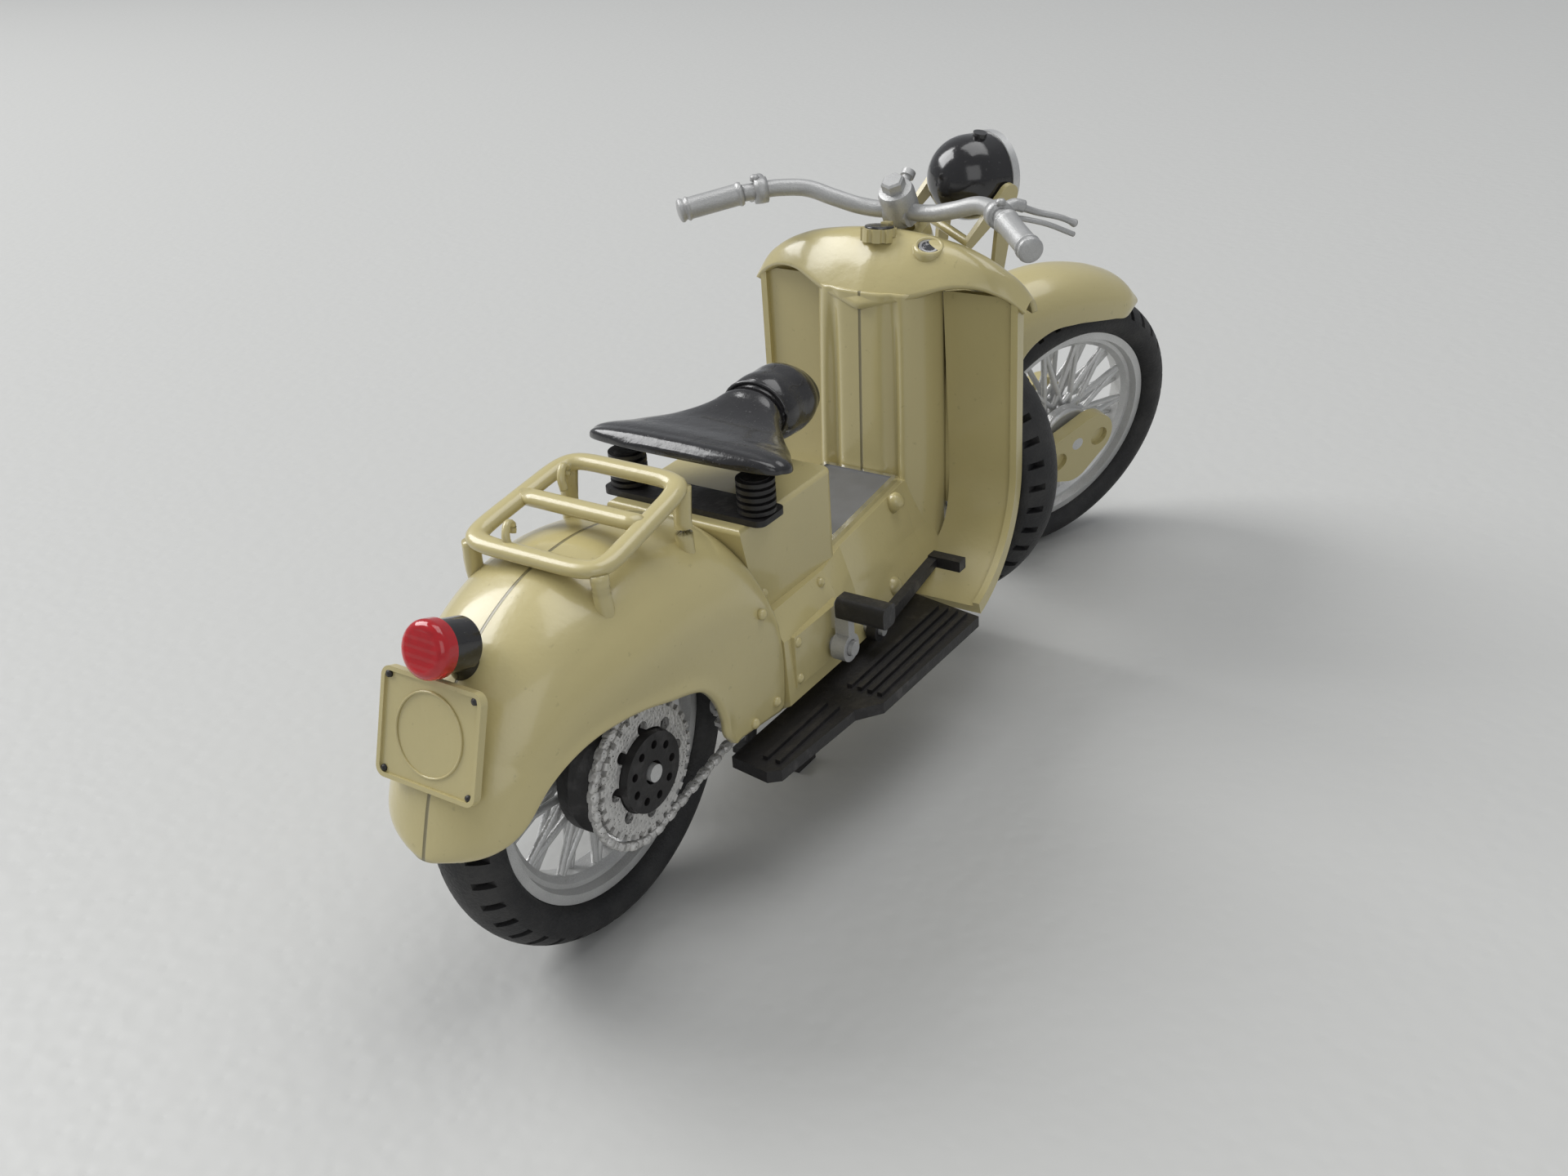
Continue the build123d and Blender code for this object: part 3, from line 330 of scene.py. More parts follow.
def rough_metal(name):
    """Pale etched metal of the chain and chain wheels, with dark pits."""
    metal = Finish(name, (0.55, 0.54, 0.52), 0.4, Metallic=0.45)
    pits = metal.cells(0.22)
    stain = metal.noise(0.8, 4.0)
    base = metal.mix(stain, (0.42, 0.41, 0.4), (0.78, 0.77, 0.74))
    metal.paint(metal.mix(1.0 - pits.above(0.18, 0.2), base, (0.09, 0.085, 0.08)))
    metal.rough(0.32 + stain * 0.3)
    metal.bump(pits, 0.06)
    return metal.material


def chrome(name):
    """Bright foil strip with a few dull patches."""
    bright = Finish(name, (0.78, 0.78, 0.78), 0.14, Metallic=1.0)
    haze = bright.noise(1.4, 4.0)
    bright.paint(bright.mix(haze, (0.66, 0.66, 0.66), (0.9, 0.9, 0.9)))
    bright.rough(0.08 + haze * 0.2)
    bright.bump(haze, 0.015)
    return bright.material


def clear_lens(name, colour, through, rings_mm):
    """Moulded lens with straight flutes, level bands one above the other up its height."""
    lens = Finish(name, colour, 0.08, Transmission_Weight=through, IOR=1.5, Coat_Weight=0.4)
    height = lens.along("Z")
    flutes = lens.value("ShaderNodeMath", {"operation": "SINE"}, {0: height * (6.2832 / (rings_mm * MM))})
    cloud = lens.noise(1.0, 3.0)
    lens.paint(lens.mix(cloud, shade(colour, 0.7), shade(colour, 1.3)))
    lens.rough(0.06 + cloud * 0.1)
    lens.bump(flutes * 0.12 + cloud * 0.4, 0.04)
    return lens.material


def dial_face(name, centre):
    """Dark instrument dial with a pale ring and patches of glare."""
    dial = Finish(name, (0.05, 0.05, 0.055), 0.12, Coat_Weight=0.8)
    across = dial.along("X") - centre[0] * MM
    side = dial.along("Y") - centre[1] * MM
    reach = dial.value("ShaderNodeMath", {"operation": "SQRT"}, {0: across * across + side * side})
    ring = reach.above(0.5 * MM, 0.1 * MM) - reach.above(0.66 * MM, 0.1 * MM)
    # painted glare: random pale patches stand in for reflections on the dial glass
    painted_glare = dial.noise(0.35, 2.0).above(0.58, 0.08)
    base = dial.mix(ring * 0.6, (0.03, 0.03, 0.034), (0.5, 0.5, 0.52))
    dial.paint(dial.mix(painted_glare * 0.7, base, (0.32, 0.31, 0.32)))
    dial.rough(0.1 + painted_glare * 0.15)
    return dial.material


DIAL_PLACE = np.array([8.7, -3.9, 32.5])
MATERIALS = {}


def make_materials():
    """Every finish, by its plain name."""
    colours = bpy.context.scene.scooter_colours
    cream, silver, black = tuple(colours.cream), tuple(colours.silver), tuple(colours.black)
    MATERIALS.update(
        cream=gloss_paint("cream_paint", cream),
        cream_seamed=gloss_paint("cream_paint_seamed", cream, "Y"),
        silver=cast_silver("silver_lacquer", silver),
        bright=cast_silver("bright_lacquer", shade(silver, 1.35), 0.32),
        gloss=black_gloss("black_gloss", black),
        saddle=black_gloss("saddle_black", black, 0.24, 0.7, 0.05),
        satin=satin_black("satin_black", (0.012, 0.011, 0.011)),
        tyre=tyre_rubber("tyre_rubber"),
        mat=mat_rubber("mat_rubber", tuple(colours.mat)),
        metal=rough_metal("rough_metal"),
        chrome=chrome("chrome_strip"),
        red=clear_lens("red_lens", tuple(colours.lens), 0.35, 0.45),
        clear=clear_lens("clear_lens", (0.82, 0.84, 0.85), 0.6, 0.5),
        dial=dial_face("dial_face", DIAL_PLACE),
    )


NODE_FINISHES = {
    "cream": (
        "saddle_box shield_cap leg_shield_right leg_shield_left engine_case head_tube "
        "front_fender fork fork_link_right fork_link_left lamp_bracket rack filler_cap gauge number_plate"
    ),
    "cream_seamed": "column rear_body_right rear_body_left",
    "silver": (
        "handlebar grip_right grip_left bar_lever_right bar_lever_left kick_lever control_pins "
        "drive_shaft"
    ),
    "bright": (
        "rear_rim front_rim spare_rim front_brake_plate front_axle spare_carrier headlamp_rim "
        "rear_axle"
    ),
    "gloss": "headlamp_shell tail_lamp_housing",
    "satin": (
        "rear_brake_drum rear_hub_cover swing_arm brake_pedal centre_stand stand_lugs saddle_springs "
        "saddle_strut footboard_right footboard_left kick_rubber"
    ),
    "saddle": "saddle",
    "tyre": "rear_tyre front_tyre spare_tyre",
    "mat": "floor_mat",
    "metal": "rear_sprocket drive_sprocket drive_chain",
    "chrome": "mat_trim",
    "red": "tail_lamp_lens",
    "clear": "headlamp_lens",
}


# ---------------------------------------------------------------- mesh helpers
def grid_faces(rows, columns, wrap=False):
    """Quads of a grid of points, rows by columns, its columns joined round when wrap is set."""
    r = np.arange(rows - 1)[:, None]
    c = np.arange(columns if wrap else columns - 1)[None, :]
    after = (c + 1) % columns
    corners = [r * columns + c, r * columns + after, (r + 1) * columns + after, (r + 1) * columns + c]
    return np.stack([np.broadcast_to(one, (rows - 1, c.shape[1])) for one in corners], -1).reshape(-1, 4)


def smooth_through(knots, values, at):
    """Cubic Hermite curve through the knots, with slopes from the knots on each side."""
    knots, values, at = np.asarray(knots, float), np.asarray(values, float), np.asarray(at, float)
    slopes = np.gradient(values, knots, axis=0)
    n = np.clip(np.searchsorted(knots, at) - 1, 0, len(knots) - 2)
    width = knots[n + 1] - knots[n]
    t = np.clip((at - knots[n]) / width, 0, 1)
    shape = (-1,) + (1,) * (values.ndim - 1)
    t, width = t.reshape(shape), width.reshape(shape)
    near = (2 * t**3 - 3 * t**2 + 1) * values[n] + (t**3 - 2 * t**2 + t) * width * slopes[n]
    far = (3 * t**2 - 2 * t**3) * values[n + 1] + (t**3 - t**2) * width * slopes[n + 1]
    return near + far


def path_through(points, count):
    """Evenly spread points on a smooth curve through the given ones, by their distance along it."""
    points = np.asarray(points, float)
    knots = np.concatenate([[0], np.cumsum(np.linalg.norm(np.diff(points, axis=0), axis=1))])
    return smooth_through(knots, points, np.linspace(0, knots[-1], count))


def unit(vectors):
    return vectors / np.linalg.norm(vectors, axis=-1, keepdims=True)


def tube(path, radius, sides=20, closed=False, flat=1.0):
    """Rings of a round section carried along a path, its own up kept near +Z; flat squashes the section."""
    path = np.asarray(path, float)
    run = np.roll(path, -1, 0) - np.roll(path, 1, 0) if closed else np.gradient(path, axis=0)
    run = unit(run)
    across = unit(np.cross(run, np.array([0.013, 0.021, 1.0])))
    upward = np.cross(across, run)
    turn = np.linspace(0, 2 * pi, sides, endpoint=False)
    radius = np.broadcast_to(np.asarray(radius, float), (len(path),))[:, None, None]
    cosine, sine = np.cos(turn)[None, :, None], np.sin(turn)[None, :, None]
    ring = across[:, None] * cosine + upward[:, None] * sine * flat
    points = (path[:, None] + ring * radius).reshape(-1, 3)
    faces = grid_faces(len(path), sides, True)
    if closed:
        last = (len(path) - 1) * sides + np.arange(sides)
        first = np.arange(sides)
        faces = np.vstack([faces, np.stack([last, np.roll(last, -1), np.roll(first, -1), first], -1)])
        return points, faces.tolist()
    ends = [list(range(sides))[::-1], list(range(len(points) - sides, len(points)))]
    return points, faces.tolist() + ends


def spun(origin, axis, profile, turns=40):
    """Points of a profile (distance along the axis, radius) turned round the axis."""
    axis = unit(np.asarray(axis, float))
    side = unit(np.cross(axis, np.array([0.31, 0.52, 0.79])))
    other = np.cross(axis, side)
    profile = np.asarray(profile, float)
    turn = np.linspace(0, 2 * pi, turns, endpoint=False)
    ring = side * np.cos(turn)[:, None] + other * np.sin(turn)[:, None]
    along = axis * profile[:, :1, None].reshape(-1, 1, 1)
    points = np.asarray(origin, float) + along + ring[None] * profile[:, 1, None, None]
    points = points.reshape(-1, 3)
    faces = grid_faces(len(profile), turns, True).tolist()
    ends = [list(range(turns))[::-1], list(range(len(points) - turns, len(points)))]
    return points, faces + ends


def copies(shape, places, frames):
    """The shape's points and faces repeated at each place, turned by each frame (rows are its axes)."""
    points, faces = shape
    moved = np.einsum("pk,nkj->npj", points, frames) + np.asarray(places, float)[:, None]
    shifted = [[index + len(points) * n for index in face] for n in range(len(places)) for face in faces]
    return moved.reshape(-1, 3), shifted


def joined(*shapes):
    """Several shapes as one list of points and faces."""
    points, faces, start = [], [], 0
    for some, more in shapes:
        points.append(some)
        faces += [[index + start for index in face] for face in more]
        start += len(some)
    return np.vstack(points), faces


def mirrored(shape):
    """The same shape on the other side of the model."""
    points, faces = shape
    return points * np.array([1, -1, 1]), [face[::-1] for face in faces]


def rounded(name, shape, finish, body, wall=0.0, smooth=True):
    """Makes a piece from points in millimetres, turns its faces outwards and lets it ride on a body."""
    points, faces = shape
    mesh = bpy.data.meshes.new(name)
    mesh.from_pydata((np.asarray(points) * MM).tolist(), [], faces)
    turned = bmesh.new()
    turned.from_mesh(mesh)
    bmesh.ops.remove_doubles(turned, verts=turned.verts, dist=1e-7)
    bmesh.ops.recalc_face_normals(turned, faces=turned.faces)
    turned.to_mesh(mesh)
    turned.free()
    mesh.polygons.foreach_set("use_smooth", [smooth] * len(mesh.polygons))
    mesh.materials.append(MATERIALS[finish])
    piece = bpy.data.objects.new(name, mesh)
    bpy.context.scene.collection.objects.link(piece)
    if wall:
        shell = piece.modifiers.new("wall", "SOLIDIFY")
        shell.thickness = wall
        shell.offset = -1
        shell.use_even_offset = False
    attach(piece, body)
    return piece


# ---------------------------------------------------------------- rear body
# Behind the vertical in degrees: reach from the axle, half width and crown height of each slice.
BODY_ANGLES = [-98, -66, -42, -24, -2, 20, 45, 68, 79, 88]
BODY_REACH = WHEEL_RADIUS + np.array([1.7, 2.9, 3.0, 2.2, 1.75, 1.5, 1.3, 1.15, 1.35, 1.75])
BODY_HALF = np.array([6.8, 6.85, 6.75, 6.65, 6.4, 6.0, 5.4, 4.8, 4.4, 3.9])
BODY_CROWN = np.array([3.0, 4.0, 5.2, 5.3, 5.1, 4.8, 4.2, 3.4, 2.8, 2.2])
TONGUE_START = 70
TONGUE_LENGTH = 16.4
ARCH_ANGLES = [-97, -88, -74, -40, 4, 30, 48, 63, 76, 86]
ARCH_RADII = np.array([5.6, 4.9, 4.9, 5.2, 5.3, 6.6, 8.1, 9.5, 10.6, 12.4])


def rear_body_surface(fine):
    """Each slice stands on a ray from the axle. Its half width follows a rounded arch of power 2.15: straight
    sides from the wheel arch up to the spring, then (side/half)^p + (rise/crown)^p = 1. Past the tongue's
    start the half width runs out as the root of 1 - t^4. Reaches past the front seam are held on it, so the
    front closes flat against the saddle box."""
    angle = np.linspace(-97, 86, 2 * fine)
    lean = np.radians(angle)
    reach = smooth_through(BODY_ANGLES, BODY_REACH, angle)
    half = smooth_through(BODY_ANGLES, BODY_HALF, angle)
    crown = smooth_through(BODY_ANGLES, BODY_CROWN, angle)
    arch = smooth_through(ARCH_ANGLES, ARCH_RADII, angle)
    half = half * np.sqrt(1 - np.clip((angle - TONGUE_START) / TONGUE_LENGTH, 0, 1) ** 4)
    spring = np.maximum(reach - crown, arch + 0.01)
    rise = reach - spring
    up = np.linspace(0, 1, 14)[:-1]
    turn = np.linspace(0, pi / 2, 22)
    power = 2 / 2.15
    side_r = arch[:, None] + (spring - arch)[:, None] * up
    side_y = half[:, None] * np.ones_like(up)
    top_r = spring[:, None] + rise[:, None] * np.sin(turn) ** power
    top_y = half[:, None] * np.abs(np.cos(turn)) ** power
    r = np.hstack([side_r, top_r])
    y = np.hstack([side_y, top_y])
    lip = np.exp(-(((r - arch[:, None]) / 0.5) ** 2)) * 0.18
    bulge = np.exp(-(((r - 8.2) / 2.2) ** 2)) * np.exp(-(((angle[:, None] - 8) / 34) ** 2)) * 0.42
    y = y + (lip + bulge) * (r < spring[:, None] + 0.5 * rise[:, None])
    sine, cosine = np.sin(-lean)[:, None], np.cos(lean)[:, None]
    seam_foot = np.array([11.5, 4.65])
    slope = 2.4 / 10.6
    leaning = (seam_foot[0] + slope * seam_foot[1]) / np.maximum(sine + slope * cosine, 0.05)
    upright = seam_foot[0] / np.maximum(sine, 0.05)
    seam = np.where(leaning * cosine > seam_foot[1], leaning, upright)
    held = (r > seam) & (sine > 0.3)
    r = np.where(held, seam, r)
    x = REAR_AXLE[0] + r * sine
    z = REAR_AXLE[2] + r * cosine
    right = np.stack([x, -y, z], -1)
    left = np.stack([x, y, z], -1)[:, ::-1][:, 1:]
    points = np.concatenate([right, left], 1)
    hidden = np.concatenate([held & (y < 4.6), (held & (y < 4.6))[:, ::-1][:, 1:]], 1).ravel()
    faces = grid_faces(*points.shape[:2])
    return points.reshape(-1, 3), faces[~hidden[faces].all(1)].tolist()


class BuildRearBody(bpy.types.Operator):
    """Smooth painted shell over the rear wheel."""

    bl_idname = "scooter.rear_body"
    bl_label = "Rear body"

    def execute(self, context):
        sizes = context.scene.scooter_sizes
        shape = rear_body_surface(sizes.fine)
        piece = rounded("rear_body_shell", shape, "cream_seamed", "frame", sizes.body_wall)
        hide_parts("rear_body_right", "rear_body_left")
        return {"FINISHED"}


# ---------------------------------------------------------------- shield cap
CAP_SIDES = np.array([0, 3.5, 6.5, 8.8, 10.2, 10.88])
CAP_REAR = np.array([[5.3, 28.7], [6.3, 29.5], [7.5, 30.3], [8.3, 30.0], [8.9, 29.2], [9.2, 28.6]])
CAP_TOP = np.array([[9.3, 33.1], [9.5, 32.9], [9.8, 32.3], [10.0, 31.2], [10.2, 30.1], [10.3, 29.2]])
CAP_FRONT = np.array([[14.2, 28.6], [13.9, 28.5], [13.2, 28.4], [12.4, 28.3], [11.7, 28.2], [11.2, 28.15]])


def cap_surface(fine):
    """Over the side distance, three edge lines (rear, crest, front) are smooth curves. Between them the
    section is the parabola through its three points."""
    side = np.sin(np.linspace(-pi / 2, pi / 2, fine)) * CAP_SIDES[-1]
    rear = smooth_through(CAP_SIDES, CAP_REAR, np.abs(side))[:, None]
    crest = smooth_through(CAP_SIDES, CAP_TOP, np.abs(side))[:, None]
    front = smooth_through(CAP_SIDES, CAP_FRONT, np.abs(side))[:, None]
    t = np.linspace(0, 1, 40)[None, :, None]
    peak = 0.44
    first = (t - peak) * (t - 1) / peak
    second = t * (t - 1) / (peak * (peak - 1))
    third = t * (t - peak) / (1 - peak)
    outline = first * rear + second * crest + third * front
    across = np.broadcast_to(side[:, None, None], outline[..., :1].shape)
    points = np.concatenate([outline[..., :1], across, outline[..., 1:]], -1)
    return points.reshape(-1, 3), grid_faces(*points.shape[:2]).tolist()


class BuildShieldCap(bpy.types.Operator):
    """Hood on top of the leg shield, with its filler disc and dial."""

    bl_idname = "scooter.shield_cap"
    bl_label = "Shield cap"

    def execute(self, context):
        sizes = context.scene.scooter_sizes
        shape = cap_surface(sizes.fine)
        piece = rounded("shield_cap_shell", shape, "cream", "frame", sizes.body_wall)
        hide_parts("shield_cap")
        top = high("filler_cap")
        centre = middle("filler_cap")
        disc = [(0, 0.02), (0.06, 0.5), (0.06, 0.98), (0, 1.02), (-0.3, 1.02)]
        lean = unit(np.array([0.12, 0, 1.0]))
        filler = spun([centre[0], 0, top[2] - 0.1], lean, disc)
        rounded("filler_disc", filler, "gloss", "frame")
        tilt = unit(np.array([-0.3, -0.25, 1.0]))
        bezel = [(-1.0, 1.15), (0.0, 1.1), (0.22, 0.98), (0.22, 0.82), (0.08, 0.76)]
        ring = rounded("dial_bezel", spun(DIAL_PLACE, tilt, bezel), "cream", "frame")
        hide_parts("gauge")
        glass = [(0.1, 0.02), (0.1, 0.5), (0.1, 0.79), (-0.1, 0.79)]
        rounded("dial_face", spun(DIAL_PLACE, tilt, glass), "dial", "frame")
        return {"FINISHED"}


# ---------------------------------------------------------------- front fender
STEER_PLACE, STEER_AXIS = joint("steering")
REST_TURN = radians(-27.5)
FRONT_AXLE = np.array([31.3, 0.0, 11.85])
FENDER_ANGLES = np.array([-24, -18, -8, 2, 14, 26, 38, 48, 60, 75, 92])
FENDER_REACH = np.array([12.75, 13.35, 13.85, 14.35, 15.1, 15.9, 16.9, 18.0, 15.6, 13.9, 13.2])
FENDER_HALF = np.array([2.0, 2.75, 3.1, 3.25, 3.3, 3.3, 3.3, 3.3, 3.3, 3.2, 3.0])
FENDER_EDGE = np.array([12.1, 11.2, 11.0, 11.15, 11.7, 12.4, 12.2, 11.0, 9.6, 9.6, 10.6])


def turned(points):
    """Points drawn for a straight fork, turned with it to its place at rest."""
    spin = np.array(Matrix.Rotation(REST_TURN, 3, Vector(STEER_AXIS)))
    return (points - STEER_PLACE) @ spin.T + STEER_PLACE


def fender_surface(fine):
    """Slices on rays from the front axle, ahead of the vertical when negative: straight skirts from the edge
    radius up to a half arch of power 2.3 whose crown is as high as the half width, drawn in at the tip."""
    angle = np.linspace(FENDER_ANGLES[0], FENDER_ANGLES[-1], 2 * fine)
    lean = np.radians(angle)[:, None]
    reach = smooth_through(FENDER_ANGLES, FENDER_REACH, angle)[:, None]
    half = smooth_through(FENDER_ANGLES, FENDER_HALF, angle)[:, None]
    edge = np.minimum(smooth_through(FENDER_ANGLES, FENDER_EDGE, angle)[:, None], reach - 0.25)
    spring = np.maximum(reach - half * 0.85, edge + 0.05)
    up = np.linspace(0, 1, 12)[None, :-1]
    turn = np.linspace(0, pi / 2, 24)[None]
    power = 2 / 2.3
    r = np.hstack([edge + (spring - edge) * up, spring + (reach - spring) * np.sin(turn) ** power])
    y = np.hstack([half * np.ones_like(up), half * np.abs(np.cos(turn)) ** power])
    x = FRONT_AXLE[0] - r * np.sin(lean)
    z = FRONT_AXLE[2] + r * np.cos(lean)
    right = np.stack([x, -y, z], -1)
    left = np.stack([x, y, z], -1)[:, ::-1][:, 1:]
    points = np.concatenate([right, left], 1)
    return turned(points.reshape(-1, 3)), grid_faces(*points.shape[:2]).tolist()


class BuildFrontFender(bpy.types.Operator):
    """Hooded front fender."""

    bl_idname = "scooter.front_fender"
    bl_label = "Front fender"

    def execute(self, context):
        sizes = context.scene.scooter_sizes
        shape = fender_surface(sizes.fine)
        piece = rounded("front_fender_shell", shape, "cream", "fork_group", sizes.body_wall)
        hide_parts("front_fender")
        return {"FINISHED"}


# ---------------------------------------------------------------- column
COLUMN_FOOT = 9.0
COLUMN_TOP = 29.8
LOBES_END = 30.6


def column_surface(fine):
    """Up the column, the section runs from one side round the back to the other: a rounded box of power 3.2
    whose back carries a middle lobe between two shallow valleys. The foot flares out as a bell curve, and the
    lobes fade with the sixth power of the height."""
    z = np.linspace(COLUMN_FOOT, COLUMN_TOP, fine)[:, None]
    rise = (z - COLUMN_FOOT) / (LOBES_END - COLUMN_FOOT)
    flare = 0.9 * np.exp(-(((z - 9.5) / 1.8) ** 2))
    front = 9.0 + 0.9 * rise
    depth = front - (4.9 + 0.9 * rise) + flare * 0.5
    half = 4.75 - 0.25 * rise + flare
    turn = np.linspace(-pi / 2, pi / 2, 110)[None]
    power = 2 / 3.2
    y = half * np.sign(np.sin(turn)) * np.abs(np.sin(turn)) ** power
    back = np.abs(np.cos(turn)) ** power
    side = np.abs(y) / half
    valley = 0.55 * np.exp(-(((side - 0.52) / 0.10) ** 2))
    ridge = 0.28 * np.exp(-(((side - 0.74) / 0.12) ** 2))
    x = front - depth * back + (valley - ridge) * back * (1 - rise**6)
    points = np.stack([x, y, np.broadcast_to(z, x.shape)], -1)
    return points.reshape(-1, 3), grid_faces(*points.shape[:2]).tolist()


class BuildColumn(bpy.types.Operator):
    """Lobed column between the floor and the cap."""

    bl_idname = "scooter.column"
    bl_label = "Column"

    def execute(self, context):
        sizes = context.scene.scooter_sizes
        shape = column_surface(sizes.fine)
        piece = rounded("column_shell", shape, "cream_seamed", "frame", sizes.body_wall)
        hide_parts("column")
        return {"FINISHED"}


# ---------------------------------------------------------------- saddle
SADDLE_X = np.array([-16.6, -16.2, -15.2, -13.0, -10.8, -9.0, -8.2, -7.8, -7.4, -5.6, -3.8, -3.0, -2.62])
SADDLE_HALF = np.array([3.6, 5.9, 7.15, 6.2, 4.3, 2.9, 2.45, 2.25, 2.42, 2.5, 2.35, 1.8, 0.7])
SADDLE_TOP = np.array([26.6, 26.95, 27.05, 26.8, 26.75, 27.2, 27.55, 27.55, 27.85, 28.05, 27.8, 27.1, 26.2])
SADDLE_LOW = np.array([26.2, 26.0, 25.75, 25.45, 25.3, 24.9, 24.5, 24.3, 23.9, 23.35, 23.7, 24.4, 25.1])


def saddle_surface(fine):
    """Sections across the saddle: half width, top and underside are smooth curves of the length. Above and
    below a belt line low on its side, the section is an arch of power 3 that eases to power 2 at the nose, so
    the skirt turns down."""
    rear = np.linspace(-16.6, -15.2, 16)[:-1]
    middle_run = np.linspace(-15.2, -3.8, 2 * fine)[:-1]
    x = np.concatenate([rear, middle_run, np.linspace(-3.8, -2.62, 20)])
    half = smooth_through(SADDLE_X, SADDLE_HALF, x)[:, None]
    top = smooth_through(SADDLE_X, SADDLE_TOP, x)[:, None]
    foot = smooth_through(SADDLE_X, SADDLE_LOW, x)[:, None]
    nose = np.clip((x[:, None] + 10.4) / 2.6, 0, 1)
    belt = foot + (top - foot) * (0.18 + 0.3 * nose)
    turn = np.linspace(0, 2 * pi, 48, endpoint=False)[None]
    flatness = 2 / (3.0 - 1.0 * nose)
    y = half * np.sign(np.cos(turn)) * np.abs(np.cos(turn)) ** flatness
    lift = np.abs(np.sin(turn)) ** flatness
    z = np.where(np.sin(turn) >= 0, belt + (top - belt) * lift, belt - (belt - foot) * lift)
    points = np.stack([np.broadcast_to(x[:, None], y.shape), y, z], -1)
    count = points.shape[1]
    faces = grid_faces(*points.shape[:2], True).tolist()
    total = points.shape[0] * count
    return points.reshape(-1, 3), faces + [list(range(count))[::-1], list(range(total - count, total))]


class BuildSaddle(bpy.types.Operator):
    """Black saddle with its rolled nose, and a piping band round its waist."""

    bl_idname = "scooter.saddle"
    bl_label = "Saddle"

    def execute(self, context):
        sizes = context.scene.scooter_sizes
        piece = rounded("saddle_cover", saddle_surface(sizes.fine // 2), "saddle", "frame")
        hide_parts("saddle")
        turn = np.linspace(0, 2 * pi, 40, endpoint=False)
        band = np.stack([np.full(40, -7.55), np.cos(turn) * 2.36, 25.95 + np.sin(turn) * 1.86], -1)
        rounded("saddle_piping", tube(band, 0.14, 8, True), "saddle", "frame")
        return {"FINISHED"}


# ---------------------------------------------------------------- handlebar
BAR_ROUTE = [
    [11.7, 0, 34.0],
    [11.5, -1.5, 33.95],
    [11.3, -3.0, 34.1],
    [10.9, -4.8, 34.6],
    [10.3, -6.8, 35.25],
    [9.3, -8.3, 35.4],
    [7.3, -10.3, 35.3],
]
GRIP_END = [4.4, -13.3, 34.6]


def bar_shape(radius):
    """One round tube through the route and its mirror image."""
    right = np.array(BAR_ROUTE, float)
    route = np.vstack([right[::-1], (right * [1, -1, 1])[1:]])
    return tube(path_through(route, 120), radius, 24)


def boss_shape():
    """The disc over the steering head with its rounded edge, hexagon bolt and clamp."""
    base = STEERING_PLACE
    disc = [(-0.3, 1.0), (-0.1, 1.28), (2.1, 1.3), (2.4, 1.18), (2.5, 0.95), (2.5, 0.3)]
    bolt = [(2.45, 0.85), (3.15, 0.85), (3.3, 0.7), (3.3, 0.1)]
    clamp = np.array([[11.6, -1.0, 33.7], [11.7, 0, 33.75], [11.6, 1.0, 33.7]])
    knob_place = base + HEAD_AHEAD * 1.2 + HEAD_UP * 1.9
    knob = [(0, 0.35), (0.5, 0.35), (0.55, 0.5), (1.0, 0.5), (1.1, 0.3)]
    return joined(
        spun(base, HEAD_UP, disc, 48),
        spun(base, HEAD_UP, bolt, 6),
        tube(path_through(clamp, 12), 0.82, 24),
        spun(knob_place, HEAD_AHEAD + HEAD_UP * 0.2, knob, 16),
    )


def grip_shape(radius):
    """A turned grip: plain barrel, three raised bands, a groove near the outer end and a domed tip."""
    start, end = np.array(BAR_ROUTE[-1], float), np.array(GRIP_END, float)
    length = np.linalg.norm(end - start)
    s = np.linspace(0, 1, 90)
    width = 1 + 0.12 * (np.exp(-(((s - 0.04) / 0.03) ** 2)) + np.exp(-(((s - 0.84) / 0.02) ** 2)))
    width = width + 0.1 * np.exp(-(((s - 0.94) / 0.03) ** 2)) - 0.08 * np.exp(-(((s - 0.885) / 0.015) ** 2))
    dome = np.sqrt(np.clip(1 - ((s - 0.96) / 0.045).clip(0, 1) ** 2, 0.02, 1))
    profile = np.stack([s * (length + 0.55), radius * width * dome], -1)
    return spun(start, end - start, profile, 32)


def lever_shape():
    """Perch ring round the bar with its lugs, and a curved lever that swells to a ball."""
    root = np.array([8.25, -9.35, 35.38])
    along = unit(np.array(BAR_ROUTE[-1], float) - np.array(BAR_ROUTE[-2], float))
    band = [(0, 0.6), (0.05, 0.92), (0.45, 0.95), (0.95, 0.92), (1.0, 0.6)]
    ring = spun(root - along * 0.5, along, band, 24)
    lug_route = [root + [0.2, -0.2, 0.3], root + [0.9, -0.7, 0.5], root + [1.4, -1.1, 0.3]]
    lug = tube(path_through(lug_route, 16), 0.42, 14)
    blade_route = [root + [0.9, -0.8, 0.45], [10.6, -11.0, 35.1], [11.9, -12.2, 34.5], [12.7, -12.75, 34.0]]
    blade = path_through(blade_route, 48)
    tip = np.exp(-(((np.linspace(0, 1, 48) - 1.0) / 0.06) ** 2))
    swell = 0.27 + 0.1 * tip + 0.08 * np.linspace(1, 0, 48) ** 2
    lower = path_through([root + [0.5, -0.6, -0.2], [10.6, -11.6, 34.4], [12.2, -12.9, 33.4]], 40)
    knob_place = root + along * 0.4 + np.array([0, 0, 0.7])
    knob = spun(knob_place, [0.1, 0.1, 1], [(0, 0.32), (0.3, 0.34), (0.45, 0.2)], 12)
    return joined(ring, lug, tube(blade, swell, 16, flat=0.75), tube(lower, 0.24, 14, flat=0.75), knob)


